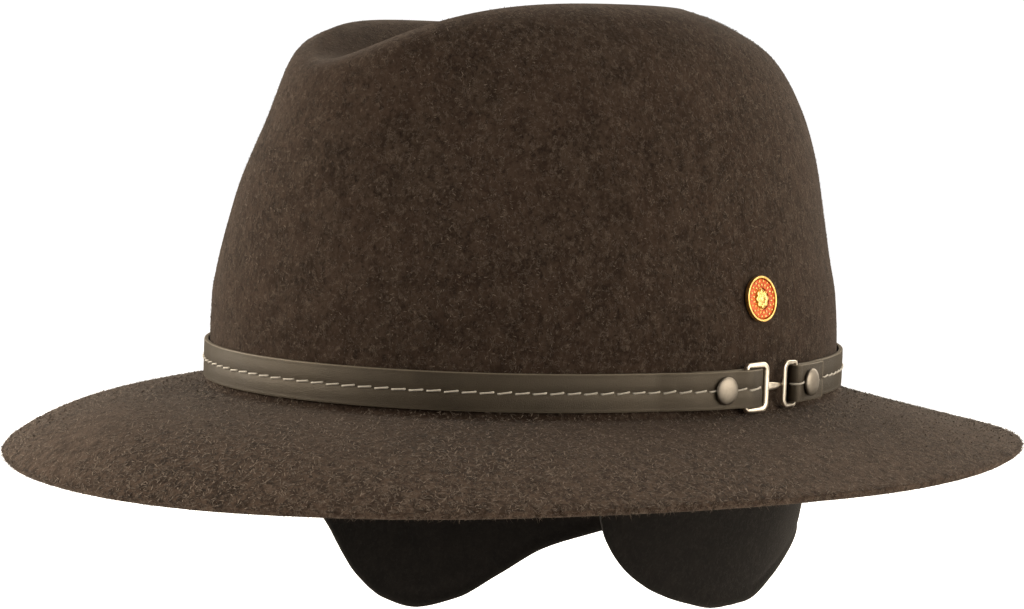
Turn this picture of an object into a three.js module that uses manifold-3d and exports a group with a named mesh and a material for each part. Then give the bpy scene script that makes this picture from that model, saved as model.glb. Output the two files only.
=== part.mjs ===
// Felt hiking hat: a one-piece felt body with a teardrop crown and a sloping brim, a narrow leather
// band closed by a hook clasp, a small round pin, and a band of cloth ear flaps inside the crown.
// Millimetres, +Z up. The front of the hat is -Y and the wearer's left is +X.
// The origin is the centre of the head opening, at the height where the brim leaves the crown.

import * as THREE from 'three';
import { mergeVertices } from 'three/addons/utils/BufferGeometryUtils.js';
import Module from 'manifold-3d';

const wasm = await Module();
wasm.setup();

// Gap between neighbouring pieces
const CLEARANCE = 0.3;

// Felt body
const FELT_THICKNESS = 2.3;
const CROWN_HALF_WIDTH = 87;
const CROWN_HALF_LENGTH = 105.5;
const RIDGE_HEIGHT = 115.7;
const LIP_HEIGHT = 100;
const BACK_RIDGE_HEIGHT = 116;
const RIDGE_HALF_WIDTH = 46;
const RIDGE_FRONT_REACH = 81.5;
const RIDGE_BACK_REACH = 44;
const RIDGE_SIDE_LEAN = 7.2;
const RIDGE_FRONT_NARROWING = 0.06;
const LIP_SHARPNESS = 4;
const DENT_DEPTH = 24;
const PINCH_DEPTH = 4.7;
const PINCH_SPREAD = 22;
const PINCH_HEIGHT = 78;
const BRIM_FRONT_WIDTH = 63.4;
const BRIM_SIDE_WIDTH = 57.8;
const BRIM_BACK_WIDTH = 60.5;
const BRIM_FRONT_DROP = 21.3;
const BRIM_SIDE_DROP = 15.6;
const BRIM_BACK_DROP = 16.1;
const BRIM_REAR_QUARTER_LIFT = 2.3;
const BRIM_SIDE_LEAN = 2.3;
const ROOT_FILLET = 2.5;

// Leather band
const BAND_WIDTH = 11.2;
const BAND_THICKNESS = 1.4;
const BAND_BOTTOM = 2.3;
const BAND_INNER_TAIL = 10;
const BAND_OUTER_TAIL = 10;
const BAND_RAMP = 12;
const TAIL_SPRING = 1.15;

// Clasp, measured along the band
const CLASP_ANGLE = 12.2;
const HOOK_TO_EYE = 9.5;
const HOOK_RING_LENGTH = 8.9;
const HOOK_SLACK = 5.2;
const FOLD_TIP_GAP = 1;
const EYE_RING_LENGTH = 6.2;
const HOOK_WIRE_WIDTH = 1.5;
const HOOK_WIRE_DEPTH = 1.6;
const EYE_WIRE_WIDTH = 1.1;
const EYE_WIRE_DEPTH = 1.0;
const RING_FRONT_CORNER = 2;
const RING_FOLD_CORNER = 0.9;
const TONGUE_HALF_HEIGHT = 1.3;
const TONGUE_THICKNESS = 0.8;

// Rivets
const RIVET_CAP_RADIUS = 4.15;
const RIVET_CAP_HEIGHT = 1.6;
const RIVET_CAP_EDGE_SHARE = 0.35;
const RIVET_CAP_BEVEL = 0.3;
const RIVET_SHANK_RADIUS = 1.2;
const RIVET_BACK_RADIUS = 3;
const RIVET_BACK_THICKNESS = 0.4;
const FRONT_RIVET_DISTANCE = 9.5;
const REAR_RIVET_DISTANCE = 6.15;

// Pin
const BADGE_RADIUS = 6.85;
const BADGE_RIM_WIDTH = 0.7;
const BADGE_FLOOR = 0.5;
const BADGE_RIM_HEIGHT = 1.4;
const BADGE_ENAMEL_THICKNESS = 0.4;
const BADGE_ROSETTE_RADIUS = 3;
const BADGE_PETALS = 8;
const BADGE_PETAL_DEPTH = 0.28;
const BADGE_ANGLE = 9.6;
const BADGE_HEIGHT = 33.7;
const POST_RADIUS = 0.6;
const CLUTCH_RADIUS = 5;
const CLUTCH_THICKNESS = 2.4;
const CLUTCH_BEVEL = 0.6;
const CLUTCH_GAP = 0.8;

// Ear flaps
const FLAP_THICKNESS = 2.6;
const FLAP_BAND_HEIGHT = 16;
const FLAP_BAND_BOTTOM = 2;
const FLAP_GAP = 0.6;
const FLAP_DROP = 86.7;
const FLAP_INWARD_ANGLE = 8;

// Facets
const FELT_COLUMNS = 60;
const BAND_STEP = 9;
const ROUND_SIDES = 14;
const BADGE_SIDES = 24;

const TURN = 2 * Math.PI;
const radians = THREE.MathUtils.degToRad;
const mix = THREE.MathUtils.lerp;

// How far the wall has leaned in from the base to the ridge, as a share, at each share of the rise
const WALL_ROWS = [
  { rise: 0, front: 0, side: 0, back: 0 },
  { rise: 0.12, front: -0.003, side: 0.004, back: 0.008 },
  { rise: 0.25, front: 0.002, side: 0.018, back: 0.032 },
  { rise: 0.36, front: 0.062, side: 0.068, back: 0.075 },
  { rise: 0.48, front: 0.149, side: 0.131, back: 0.112 },
  { rise: 0.6, front: 0.235, side: 0.195, back: 0.155 },
  { rise: 0.7, front: 0.351, side: 0.28, back: 0.208 },
  { rise: 0.78, front: 0.472, side: 0.374, back: 0.275 },
  { rise: 0.85, front: 0.579, side: 0.471, back: 0.363 },
  { rise: 0.9, front: 0.656, side: 0.561, back: 0.467 },
  { rise: 0.94, front: 0.721, side: 0.67, back: 0.618 },
  { rise: 0.975, front: 0.807, side: 0.808, back: 0.808 },
  { rise: 1, front: 1, side: 1, back: 1 },
];

// How far the top of the crown has gone in and sunk, from the ridge to the middle of the dent
const DENT_ROWS = [
  { inward: 0, sunk: 0 },
  { inward: 0.08, sunk: 0.03 },
  { inward: 0.2, sunk: 0.16 },
  { inward: 0.34, sunk: 0.42 },
  { inward: 0.5, sunk: 0.72 },
  { inward: 0.7, sunk: 0.93 },
  { inward: 1, sunk: 1 },
];

// How far the brim has dropped at each share of its width
const BRIM_ROWS = [
  { width: 0, front: 0, side: 0, back: 0 },
  { width: 0.12, front: 0.029, side: 0.08, back: 0.164 },
  { width: 0.28, front: 0.076, side: 0.21, back: 0.337 },
  { width: 0.43, front: 0.145, side: 0.349, back: 0.486 },
  { width: 0.6, front: 0.277, side: 0.524, back: 0.646 },
  { width: 0.75, front: 0.466, side: 0.693, back: 0.782 },
  { width: 0.9, front: 0.747, side: 0.873, back: 0.914 },
  { width: 1, front: 1, side: 1, back: 1 },
];

// Lower edge of the flap band, from the flaps' front edge to the middle of the back. The angle is
// from the side of the head towards the back, the drops are shares of the full drop.
const FLAP_ROWS = [
  { angle: -20.5, left: 0.026, right: 0.026 },
  { angle: -19.5, left: 0.366, right: 0.436 },
  { angle: -17.5, left: 0.462, right: 0.55 },
  { angle: -13.5, left: 0.556, right: 0.662 },
  { angle: -10, left: 0.606, right: 0.773 },
  { angle: -7, left: 0.639, right: 0.848 },
  { angle: 0, left: 0.688, right: 0.95 },
  { angle: 9, left: 0.724, right: 1 },
  { angle: 18, left: 0.721, right: 0.976 },
  { angle: 28, left: 0.66, right: 0.888 },
  { angle: 38, left: 0.598, right: 0.788 },
  { angle: 48, left: 0.567, right: 0.731 },
  { angle: 62, left: 0.563, right: 0.662 },
  { angle: 90, left: 0.576, right: 0.576 },
];

// Where the flap band's columns stand round the front, in degrees on either side
const FLAP_FRONT_ANGLES = [-86, -78, -70, -62, -54, -46, -38, -31, -26, -23];

// Smooth value of one column at a key, through the rows and without overshoot
function along(rows, keyName, columnName, key) {
  const last = rows.length - 1;
  const held = Math.min(Math.max(key, rows[0][keyName]), rows[last][keyName]);
  let i = 0;
  while (i < last - 1 && held > rows[i + 1][keyName]) i += 1;
  const slopes = [i - 1, i, i + 1].map((k) => {
    const from = rows[Math.max(k, 0)];
    const to = rows[Math.min(Math.max(k, 0) + 1, last)];
    const run = to[keyName] - from[keyName];
    return run > 0 ? (to[columnName] - from[columnName]) / run : 0;
  });
  const start = i === 0 ? slopes[1] : meanSlope(slopes[0], slopes[1]);
  const end = i === last - 1 ? slopes[1] : meanSlope(slopes[1], slopes[2]);
  const run = rows[i + 1][keyName] - rows[i][keyName];
  const q = (held - rows[i][keyName]) / run;
  const rise = q * q * (3 - 2 * q);
  return mix(rows[i][columnName], rows[i + 1][columnName], rise)
    + run * (q * (1 - q) * (1 - q) * start - q * q * (1 - q) * end);
}

function meanSlope(a, b) {
  return a * b > 0 ? (2 * a * b) / (a + b) : 0;
}

// Blend of a front, a side and a back value at an angle round the hat
function aroundHat(front, side, back, angle) {
  return mix(side, Math.sin(angle) < 0 ? front : back, Math.sin(angle) ** 2);
}

// The same blend of a table's three columns
function rowsAroundHat(rows, keyName, key, angle) {
  const [front, side, back] = ['front', 'side', 'back'].map((name) => along(rows, keyName, name, key));
  return aroundHat(front, side, back, angle);
}

// Point of the crown's base line at an angle, and the outward direction there
function basePoint(angle) {
  return new THREE.Vector3(CROWN_HALF_WIDTH * Math.cos(angle), CROWN_HALF_LENGTH * Math.sin(angle), 0);
}

function baseNormal(angle) {
  return new THREE.Vector3(
    Math.cos(angle) / CROWN_HALF_WIDTH,
    Math.sin(angle) / CROWN_HALF_LENGTH,
    0,
  ).normalize();
}

// The ridge round the dent: low at the front lip, narrow there, and a little lower on the right
function ridgePoint(angle) {
  const side = Math.cos(angle);
  const front = Math.max(0, -Math.sin(angle));
  const back = Math.max(0, Math.sin(angle));
  const x = RIDGE_HALF_WIDTH * side * (1 - RIDGE_FRONT_NARROWING * front);
  const y = RIDGE_BACK_REACH * back - RIDGE_FRONT_REACH * front;
  const z = RIDGE_HEIGHT
    - (RIDGE_HEIGHT - LIP_HEIGHT) * front ** LIP_SHARPNESS
    - (RIDGE_HEIGHT - BACK_RIDGE_HEIGHT) * back ** 2
    + 0.5 * RIDGE_SIDE_LEAN * side;
  return new THREE.Vector3(x, y, z);
}

// Outer face of the crown wall, before the pinches
function plainWall(angle, rise) {
  const base = basePoint(angle);
  const ridge = ridgePoint(angle);
  const inset = rowsAroundHat(WALL_ROWS, 'rise', rise, angle);
  return new THREE.Vector3(mix(base.x, ridge.x, inset), mix(base.y, ridge.y, inset), ridge.z * rise);
}

// The two thumb pinches beside the front of the dent press the crown inwards
const PINCHES = [-50, -130].map((degrees) => {
  const angle = radians(degrees);
  const centre = plainWall(angle, PINCH_HEIGHT / ridgePoint(angle).z);
  return { centre, push: baseNormal(angle).multiplyScalar(-PINCH_DEPTH) };
});

function pinched(point) {
  const result = point.clone();
  for (const { centre, push } of PINCHES) {
    const weight = Math.exp(-((point.distanceTo(centre) / PINCH_SPREAD) ** 2));
    result.addScaledVector(push, weight);
  }
  return result;
}

function wallPoint(angle, rise) {
  return pinched(plainWall(angle, rise));
}

function wallPointAtHeight(angle, height) {
  return wallPoint(angle, height / ridgePoint(angle).z);
}

// Outward normal of the crown wall at a height
function wallNormal(angle, height) {
  const step = 0.01;
  const across = wallPointAtHeight(angle + step, height).sub(wallPointAtHeight(angle - step, height));
  const up = wallPointAtHeight(angle, height + 1).sub(wallPointAtHeight(angle, height - 1));
  return across.cross(up).normalize();
}

// Top of the crown, from the ridge at 0 to the middle of the dent at 1
function dentPoint(angle, inward) {
  const ridge = ridgePoint(angle);
  const floor = RIDGE_HEIGHT - DENT_DEPTH;
  const sunk = along(DENT_ROWS, 'inward', 'sunk', inward);
  const point = new THREE.Vector3(ridge.x, ridge.y, 0).multiplyScalar(1 - inward);
  point.z = mix(ridge.z, floor, sunk);
  return pinched(point);
}

function brimWidth(angle) {
  return aroundHat(BRIM_FRONT_WIDTH, BRIM_SIDE_WIDTH, BRIM_BACK_WIDTH, angle);
}

// Upper face of the brim, from the crown at 0 to the cut edge at 1. It rises a little at the rear
// quarters and is a little lower on the right.
function brimPoint(angle, width) {
  const rearQuarter = Math.sin(angle) > 0 ? Math.sin(2 * angle) ** 2 : 0;
  const drop = aroundHat(BRIM_FRONT_DROP, BRIM_SIDE_DROP, BRIM_BACK_DROP, angle)
    - BRIM_REAR_QUARTER_LIFT * rearQuarter
    - 0.5 * BRIM_SIDE_LEAN * Math.cos(angle);
  const point = basePoint(angle).addScaledVector(baseNormal(angle), brimWidth(angle) * width);
  point.z = -drop * rowsAroundHat(BRIM_ROWS, 'width', width, angle);
  return point;
}

// Round inside corner between brim and crown, from the brim at 0 to the wall at 1
function filletPoint(angle, share) {
  const onBrim = brimPoint(angle, ROOT_FILLET / brimWidth(angle));
  const onWall = wallPointAtHeight(angle, ROOT_FILLET);
  const corner = basePoint(angle);
  return new THREE.Vector3()
    .addScaledVector(onBrim, (1 - share) ** 2)
    .addScaledVector(corner, 2 * share * (1 - share))
    .addScaledVector(onWall, share ** 2);
}

// Closed surface over rings of points, each ring joined to the next.
// With two tips the first and last ring close on them, without tips the last ring joins the first.
function skin(rings, tips = null) {
  const points = tips ? [...rings.flat(), ...tips] : rings.flat();
  const width = rings[0].length;
  const bands = tips ? rings.length - 1 : rings.length;
  const faces = [];
  for (let i = 0; i < bands; i += 1) {
    const here = i * width;
    const next = ((i + 1) % rings.length) * width;
    for (let j = 0; j < width; j += 1) {
      const k = (j + 1) % width;
      faces.push(here + j, here + k, next + k, here + j, next + k, next + j);
    }
  }
  if (tips) {
    const lastRing = (rings.length - 1) * width;
    const firstTip = rings.length * width;
    for (let j = 0; j < width; j += 1) {
      const k = (j + 1) % width;
      faces.push(j, firstTip, k, lastRing + j, lastRing + k, firstTip + 1);
    }
  }
  const geometry = new THREE.BufferGeometry();
  geometry.setAttribute('position', new THREE.Float32BufferAttribute(points.flatMap((p) => p.toArray()), 3));
  geometry.setIndex(faces);
  return facingOut(geometry);
}

// Turns every face over where the surface is inside out
function facingOut(geometry) {
  const position = geometry.getAttribute('position');
  const index = Array.from(geometry.index.array);
  const corners = [new THREE.Vector3(), new THREE.Vector3(), new THREE.Vector3()];
  let volume = 0;
  for (let i = 0; i < index.length; i += 3) {
    corners.forEach((corner, k) => corner.fromBufferAttribute(position, index[i + k]));
    volume += corners[0].dot(corners[1].cross(corners[2]));
  }
  if (volume < 0) geometry.setIndex(index.reverse());
  geometry.computeVertexNormals();
  return geometry;
}

function toSolid(geometry) {
  const bare = geometry.clone();
  bare.deleteAttribute('normal');
  bare.deleteAttribute('uv');
  const merged = mergeVertices(bare, 1e-4);
  return new wasm.Manifold(new wasm.Mesh({
    numProp: 3,
    vertProperties: Float32Array.from(merged.getAttribute('position').array),
    triVerts: Uint32Array.from(merged.index.array),
  }));
}

function toGeometry(solid) {
  const mesh = solid.getMesh();
  const geometry = new THREE.BufferGeometry();
  geometry.setAttribute('position', new THREE.Float32BufferAttribute(mesh.vertProperties, 3));
  geometry.setIndex(Array.from(mesh.triVerts));
  geometry.computeVertexNormals();
  return geometry;
}

// Turned piece about +Z from a profile of radius and height pairs that starts and ends on the axis
function turned(profile, sides = ROUND_SIDES) {
  const points = profile.map(([radius, height]) => new THREE.Vector2(radius, height));
  return new THREE.LatheGeometry(points, sides).rotateX(Math.PI / 2);
}

// Matrix of a frame that stands at an origin, with +Z outwards and +Y as near the hat's up as can be
function frameAt(origin, outward) {
  const across = new THREE.Vector3(0, 0, 1).cross(outward).normalize();
  const upward = outward.clone().cross(across);
  return new THREE.Matrix4().makeBasis(across, upward, outward).setPosition(origin);
}

// Arc length round the base line, so that the band's pieces sit at real distances along it
const ARC_STEPS = 1440;
const ARC = [0];
for (let i = 1; i <= ARC_STEPS; i += 1) {
  const chord = basePoint((TURN * i) / ARC_STEPS).distanceTo(basePoint((TURN * (i - 1)) / ARC_STEPS));
  ARC.push(ARC[i - 1] + chord);
}
const PERIMETER = ARC[ARC_STEPS];

function arcAtAngle(angle) {
  const share = (angle / TURN) * ARC_STEPS;
  const i = Math.floor(share);
  return mix(ARC[i], ARC[i + 1], share - i);
}

function angleAtArc(arc) {
  const held = ((arc % PERIMETER) + PERIMETER) % PERIMETER;
  let low = 0;
  let high = ARC_STEPS;
  while (high - low > 1) {
    const middle = (low + high) >> 1;
    if (ARC[middle] <= held) low = middle;
    else high = middle;
  }
  const share = (held - ARC[low]) / (ARC[high] - ARC[low]);
  return (TURN * (low + share)) / ARC_STEPS;
}

// Point beside the crown: a distance along the band from the clasp's middle, and one off the felt
const CLASP_ARC = arcAtAngle(radians(CLASP_ANGLE));

function bandPoint(distance, off, height = 0) {
  const angle = angleAtArc(CLASP_ARC + distance);
  const point = basePoint(angle).addScaledVector(baseNormal(angle), off);
  point.z = height;
  return point;
}

function bandOutward(distance) {
  return baseNormal(angleAtArc(CLASP_ARC + distance));
}

// Layers of the band, as distances of their middle off the felt
const LAYER_STEP = BAND_THICKNESS + CLEARANCE;
const LAYER_ON_FELT = CLEARANCE + BAND_THICKNESS / 2;
const LAYER_ON_RIVET = CLEARANCE + RIVET_BACK_THICKNESS + LAYER_ON_FELT;

// The band is folded round the eye's bar. The hook's ring has slid back into its own fold, whose tip
// is free and closes to a narrower gap.
const HOOK_FOLD_RADIUS = HOOK_WIRE_DEPTH / 2 + CLEARANCE + BAND_THICKNESS / 2;
const HOOK_TIP_RADIUS = (FOLD_TIP_GAP + BAND_THICKNESS) / 2;
const EYE_FOLD_RADIUS = EYE_WIRE_DEPTH / 2 + CLEARANCE + BAND_THICKNESS / 2;
const HOOK_BAR_OFF = LAYER_ON_FELT + HOOK_FOLD_RADIUS;
const EYE_BAR_OFF = LAYER_ON_FELT + EYE_FOLD_RADIUS;

// Places along the band, from the middle of the clasp
const HOOK_FRONT_BAR = -HOOK_TO_EYE / 2;
const HOOK_FOLD_BAR = HOOK_FRONT_BAR - HOOK_RING_LENGTH;
const HOOK_FOLD_TIP = HOOK_FOLD_BAR + HOOK_SLACK;
const FRONT_RIVET = HOOK_FOLD_BAR - FRONT_RIVET_DISTANCE;
const INNER_TAIL_END = FRONT_RIVET - BAND_INNER_TAIL;
const EYE_FRONT_BAR = HOOK_TO_EYE / 2;
const EYE_FOLD_BAR = EYE_FRONT_BAR + EYE_RING_LENGTH;
const REAR_RIVET = EYE_FOLD_BAR + REAR_RIVET_DISTANCE;
const OUTER_TAIL_END = REAR_RIVET + BAND_OUTER_TAIL;
const BAND_MIDDLE_HEIGHT = BAND_BOTTOM + BAND_WIDTH / 2;

// Middle line of the band: each layer is a short table of distance and offset. The band ramps down
// to the felt past its inner end, and an end stands off the layer below a little more than a step.
const FRONT_INNER_ROWS = [
  { distance: INNER_TAIL_END, off: LAYER_ON_FELT },
  { distance: FRONT_RIVET - RIVET_BACK_RADIUS, off: LAYER_ON_RIVET },
  { distance: FRONT_RIVET + RIVET_BACK_RADIUS, off: LAYER_ON_RIVET },
  { distance: HOOK_FOLD_BAR, off: LAYER_ON_FELT },
  { distance: HOOK_FOLD_TIP, off: LAYER_ON_FELT },
];
const FRONT_OUTER_ROWS = [
  { distance: INNER_TAIL_END - BAND_RAMP, off: LAYER_ON_FELT },
  { distance: INNER_TAIL_END - BAND_THICKNESS, off: LAYER_ON_FELT + LAYER_STEP },
  { distance: INNER_TAIL_END + BAND_THICKNESS, off: LAYER_ON_FELT + TAIL_SPRING * LAYER_STEP },
  { distance: FRONT_RIVET - RIVET_BACK_RADIUS, off: LAYER_ON_RIVET + LAYER_STEP },
  { distance: FRONT_RIVET + RIVET_BACK_RADIUS, off: LAYER_ON_RIVET + LAYER_STEP },
  { distance: HOOK_FOLD_BAR, off: HOOK_BAR_OFF + HOOK_FOLD_RADIUS },
  { distance: HOOK_FOLD_TIP, off: LAYER_ON_FELT + 2 * HOOK_TIP_RADIUS },
];
const REAR_INNER_ROWS = [
  { distance: EYE_FOLD_BAR, off: LAYER_ON_FELT },
  { distance: REAR_RIVET - RIVET_BACK_RADIUS, off: LAYER_ON_RIVET },
  { distance: REAR_RIVET + RIVET_BACK_RADIUS, off: LAYER_ON_RIVET },
  { distance: OUTER_TAIL_END, off: LAYER_ON_FELT },
];
const REAR_OUTER_ROWS = [
  { distance: EYE_FOLD_BAR, off: EYE_BAR_OFF + EYE_FOLD_RADIUS },
  { distance: REAR_RIVET - RIVET_BACK_RADIUS, off: LAYER_ON_RIVET + LAYER_STEP },
  { distance: REAR_RIVET + RIVET_BACK_RADIUS, off: LAYER_ON_RIVET + LAYER_STEP },
  { distance: OUTER_TAIL_END, off: LAYER_ON_FELT + TAIL_SPRING * LAYER_STEP },
];

// Points of one layer, from one distance to another
function layerPoints(rows, from, to, step) {
  const count = Math.max(2, Math.round(Math.abs(to - from) / step));
  return Array.from({ length: count + 1 }, (_, i) => {
    const distance = mix(from, to, i / count);
    return bandPoint(distance, along(rows, 'distance', 'off', distance));
  });
}

// Half turn of a fold, from the felt side outwards, on the side where the clasp is
function foldPoints(distance, radius, towardsClasp) {
  const steps = 6;
  const outward = bandOutward(distance);
  const forward = new THREE.Vector3(-outward.y, outward.x, 0).multiplyScalar(towardsClasp);
  const centre = bandPoint(distance, LAYER_ON_FELT + radius);
  return Array.from({ length: steps - 1 }, (_, i) => {
    const turn = (Math.PI * (i + 1)) / steps;
    return centre.clone()
      .addScaledVector(outward, -radius * Math.cos(turn))
      .addScaledVector(forward, radius * Math.sin(turn));
  });
}

function bandMiddleLine() {
  const fine = 2;
  const onFelt = [{ distance: -PERIMETER, off: LAYER_ON_FELT }, { distance: 0, off: LAYER_ON_FELT }];
  const wholeFrom = INNER_TAIL_END - BAND_RAMP;
  const wholeTo = OUTER_TAIL_END - PERIMETER;
  return [
    ...layerPoints(FRONT_INNER_ROWS, INNER_TAIL_END, HOOK_FOLD_TIP, fine),
    ...foldPoints(HOOK_FOLD_TIP, HOOK_TIP_RADIUS, 1),
    ...layerPoints(FRONT_OUTER_ROWS, HOOK_FOLD_TIP, wholeFrom, fine),
    ...layerPoints(onFelt, wholeFrom, wholeTo, BAND_STEP).slice(1),
    ...layerPoints(REAR_INNER_ROWS, OUTER_TAIL_END, EYE_FOLD_BAR, fine).slice(1),
    ...foldPoints(EYE_FOLD_BAR, EYE_FOLD_RADIUS, -1),
    ...layerPoints(REAR_OUTER_ROWS, EYE_FOLD_BAR, OUTER_TAIL_END, fine),
  ];
}

// Outline of a strip of even thickness along an open line in the plan
function stripOutline(line, thickness) {
  const sides = [1, -1].map((side) => line.map((point, i) => {
    const before = line[Math.max(i - 1, 0)];
    const after = line[Math.min(i + 1, line.length - 1)];
    const first = new THREE.Vector2(point.x - before.x, point.y - before.y);
    const second = new THREE.Vector2(after.x - point.x, after.y - point.y);
    const direction = first.normalize().add(second.normalize()).normalize();
    const across = new THREE.Vector2(direction.y, -direction.x);
    return new THREE.Vector2(point.x, point.y).addScaledVector(across, (side * thickness) / 2);
  }));
  return [...sides[0], ...sides[1].reverse()];
}

// Closed wire ring in a flat frame: a rectangle with a rounded section, and corners that are round
// at its front bar and tight at the bar in the leather's fold. Front is 1 towards +X or -1.
function wireRing(length, height, width, depth, front) {
  const sectionSides = 8;
  const cornerSteps = 3;
  const rings = [];
  for (let quarter = 0; quarter < 4; quarter += 1) {
    const right = quarter === 0 || quarter === 3 ? 1 : -1;
    const top = quarter < 2 ? 1 : -1;
    const corner = right === front ? RING_FRONT_CORNER : RING_FOLD_CORNER;
    for (let step = 0; step <= cornerSteps; step += 1) {
      const turn = (Math.PI / 2) * (quarter + step / cornerSteps);
      const outward = new THREE.Vector3(Math.cos(turn), Math.sin(turn), 0);
      const centre = new THREE.Vector3(right * (length / 2 - corner), top * (height / 2 - corner), 0)
        .addScaledVector(outward, corner);
      rings.push(Array.from({ length: sectionSides }, (_, i) => {
        const around = (TURN * (i + 0.5)) / sectionSides;
        const point = centre.clone().addScaledVector(outward, (width / 2) * Math.cos(around));
        point.z = (depth / 2) * Math.sin(around);
        return point;
      }));
    }
  }
  return skin(rings);
}

// Felt body: rings from the middle of the dent's underside, out under the brim and back over the top
function feltBody() {
  const angles = Array.from({ length: FELT_COLUMNS }, (_, i) => (TURN * i) / FELT_COLUMNS);
  const filletShares = [0, 0.5, 1];
  const filletRise = ROOT_FILLET / LIP_HEIGHT;
  const surfaces = [
    ...[...BRIM_ROWS].reverse().filter((row) => row.width > 0).map((row) => [brimPoint, row.width]),
    ...filletShares.map((share) => [filletPoint, share]),
    ...WALL_ROWS.filter((row) => row.rise > 2 * filletRise).map((row) => [wallPoint, row.rise]),
    ...DENT_ROWS.filter((row) => row.inward > 0 && row.inward < 1).map((row) => [dentPoint, row.inward]),
  ];
  const outer = surfaces.map(([surface, key]) => angles.map((angle) => surface(angle, key)));
  const outerTip = dentPoint(0, 1);
  const inner = outer.map((ring, i) => ring.map((point, j) => {
    const before = outer[Math.max(i - 1, 0)][j];
    const after = i + 1 < outer.length ? outer[i + 1][j] : outerTip;
    const left = ring[(j + FELT_COLUMNS - 1) % FELT_COLUMNS];
    const right = ring[(j + 1) % FELT_COLUMNS];
    const normal = right.clone().sub(left).cross(after.clone().sub(before)).normalize();
    return point.clone().addScaledVector(normal, -FELT_THICKNESS);
  }));
  const innerTip = outerTip.clone();
  innerTip.z -= FELT_THICKNESS;
  return skin([...inner.reverse(), ...outer], [innerTip, outerTip]);
}

function material(color, roughness, metalness) {
  return new THREE.MeshStandardMaterial({ color, roughness, metalness });
}

const MATERIALS = {
  felt: material(0x3e352d, 0.95, 0),
  leather: material(0x5a544a, 0.5, 0),
  nickel: material(0xd9d2c4, 0.25, 1),
  rivet: material(0xa89f8e, 0.45, 0.8),
  gold: material(0xd9a441, 0.3, 1),
  enamel: material(0xc8401c, 0.25, 0),
  flaps: material(0x101010, 0.9, 0),
};

function piece(name, geometry, finish, matrix = null) {
  const mesh = new THREE.Mesh(geometry, finish);
  mesh.name = name;
  if (matrix) mesh.applyMatrix4(matrix);
  return mesh;
}

// Pin: a shallow gold dish with a rim, a raised rosette and a post, and a ring of enamel in the dish
const BADGE_BASE = wallPointAtHeight(radians(BADGE_ANGLE), BADGE_HEIGHT);
const BADGE_OUTWARD = wallNormal(radians(BADGE_ANGLE), BADGE_HEIGHT);
const BADGE_FRAME = frameAt(BADGE_BASE.clone().addScaledVector(BADGE_OUTWARD, CLEARANCE), BADGE_OUTWARD);
const CLUTCH_TOP = -(CLEARANCE + FELT_THICKNESS + CLUTCH_GAP);
const POST_END = CLUTCH_TOP - CLUTCH_THICKNESS;

function badgeDish() {
  const innerRadius = BADGE_RADIUS - BADGE_RIM_WIDTH;
  const dish = turned([
    [0, POST_END],
    [POST_RADIUS, POST_END],
    [POST_RADIUS, 0],
    [BADGE_RADIUS, 0],
    [BADGE_RADIUS, BADGE_RIM_HEIGHT],
    [innerRadius, BADGE_RIM_HEIGHT],
    [innerRadius, BADGE_FLOOR],
    [0, BADGE_FLOOR],
  ], BADGE_SIDES);
  const steps = 4 * BADGE_PETALS;
  const outline = Array.from({ length: steps }, (_, i) => {
    const turn = (TURN * i) / steps;
    const petal = Math.abs(Math.cos((BADGE_PETALS * turn) / 2));
    const radius = BADGE_ROSETTE_RADIUS * mix(1 - BADGE_PETAL_DEPTH, 1, petal);
    return new THREE.Vector2(radius * Math.cos(turn), radius * Math.sin(turn));
  });
  const sunk = BADGE_FLOOR / 2;
  const depth = BADGE_RIM_HEIGHT - sunk;
  const rosette = new THREE.ExtrudeGeometry(new THREE.Shape(outline), { depth, bevelEnabled: false });
  rosette.translate(0, 0, sunk);
  return toGeometry(toSolid(dish).add(toSolid(rosette)));
}

function badgeEnamel() {
  const outer = BADGE_RADIUS - BADGE_RIM_WIDTH - CLEARANCE;
  const inner = BADGE_ROSETTE_RADIUS + CLEARANCE;
  const low = BADGE_FLOOR + CLEARANCE;
  const high = low + BADGE_ENAMEL_THICKNESS;
  return turned([[inner, low], [outer, low], [outer, high], [inner, high], [inner, low]], BADGE_SIDES);
}

function badgeClutch() {
  const hole = POST_RADIUS + CLEARANCE;
  const low = POST_END;
  return turned([
    [hole, low],
    [CLUTCH_RADIUS - CLUTCH_BEVEL, low],
    [CLUTCH_RADIUS, low + CLUTCH_BEVEL],
    [CLUTCH_RADIUS, CLUTCH_TOP],
    [hole, CLUTCH_TOP],
    [hole, low],
  ]);
}

// Rivet: a back disc against the felt, a shank through both layers of the band, and a domed cap
const RIVET_CAP_BASE = LAYER_ON_RIVET + LAYER_STEP + BAND_THICKNESS / 2 + CLEARANCE;

function rivet() {
  const low = CLEARANCE;
  const disc = low + RIVET_BACK_THICKNESS;
  const base = RIVET_CAP_BASE;
  const capSteps = 4;
  const cap = Array.from({ length: capSteps + 1 }, (_, i) => {
    const turn = (Math.PI / 2) * (i / capSteps);
    const rise = mix(RIVET_CAP_EDGE_SHARE, 1, Math.sin(turn));
    return [RIVET_CAP_RADIUS * Math.cos(turn), base + RIVET_CAP_HEIGHT * rise];
  });
  cap[capSteps][0] = 0;
  return turned([
    [0, low],
    [RIVET_BACK_RADIUS, low],
    [RIVET_BACK_RADIUS, disc],
    [RIVET_SHANK_RADIUS, disc],
    [RIVET_SHANK_RADIUS, base],
    [RIVET_CAP_RADIUS - RIVET_CAP_BEVEL, base],
    ...cap,
  ]);
}

function rivetFrame(distance) {
  return frameAt(bandPoint(distance, 0, BAND_MIDDLE_HEIGHT), bandOutward(distance));
}

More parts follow.
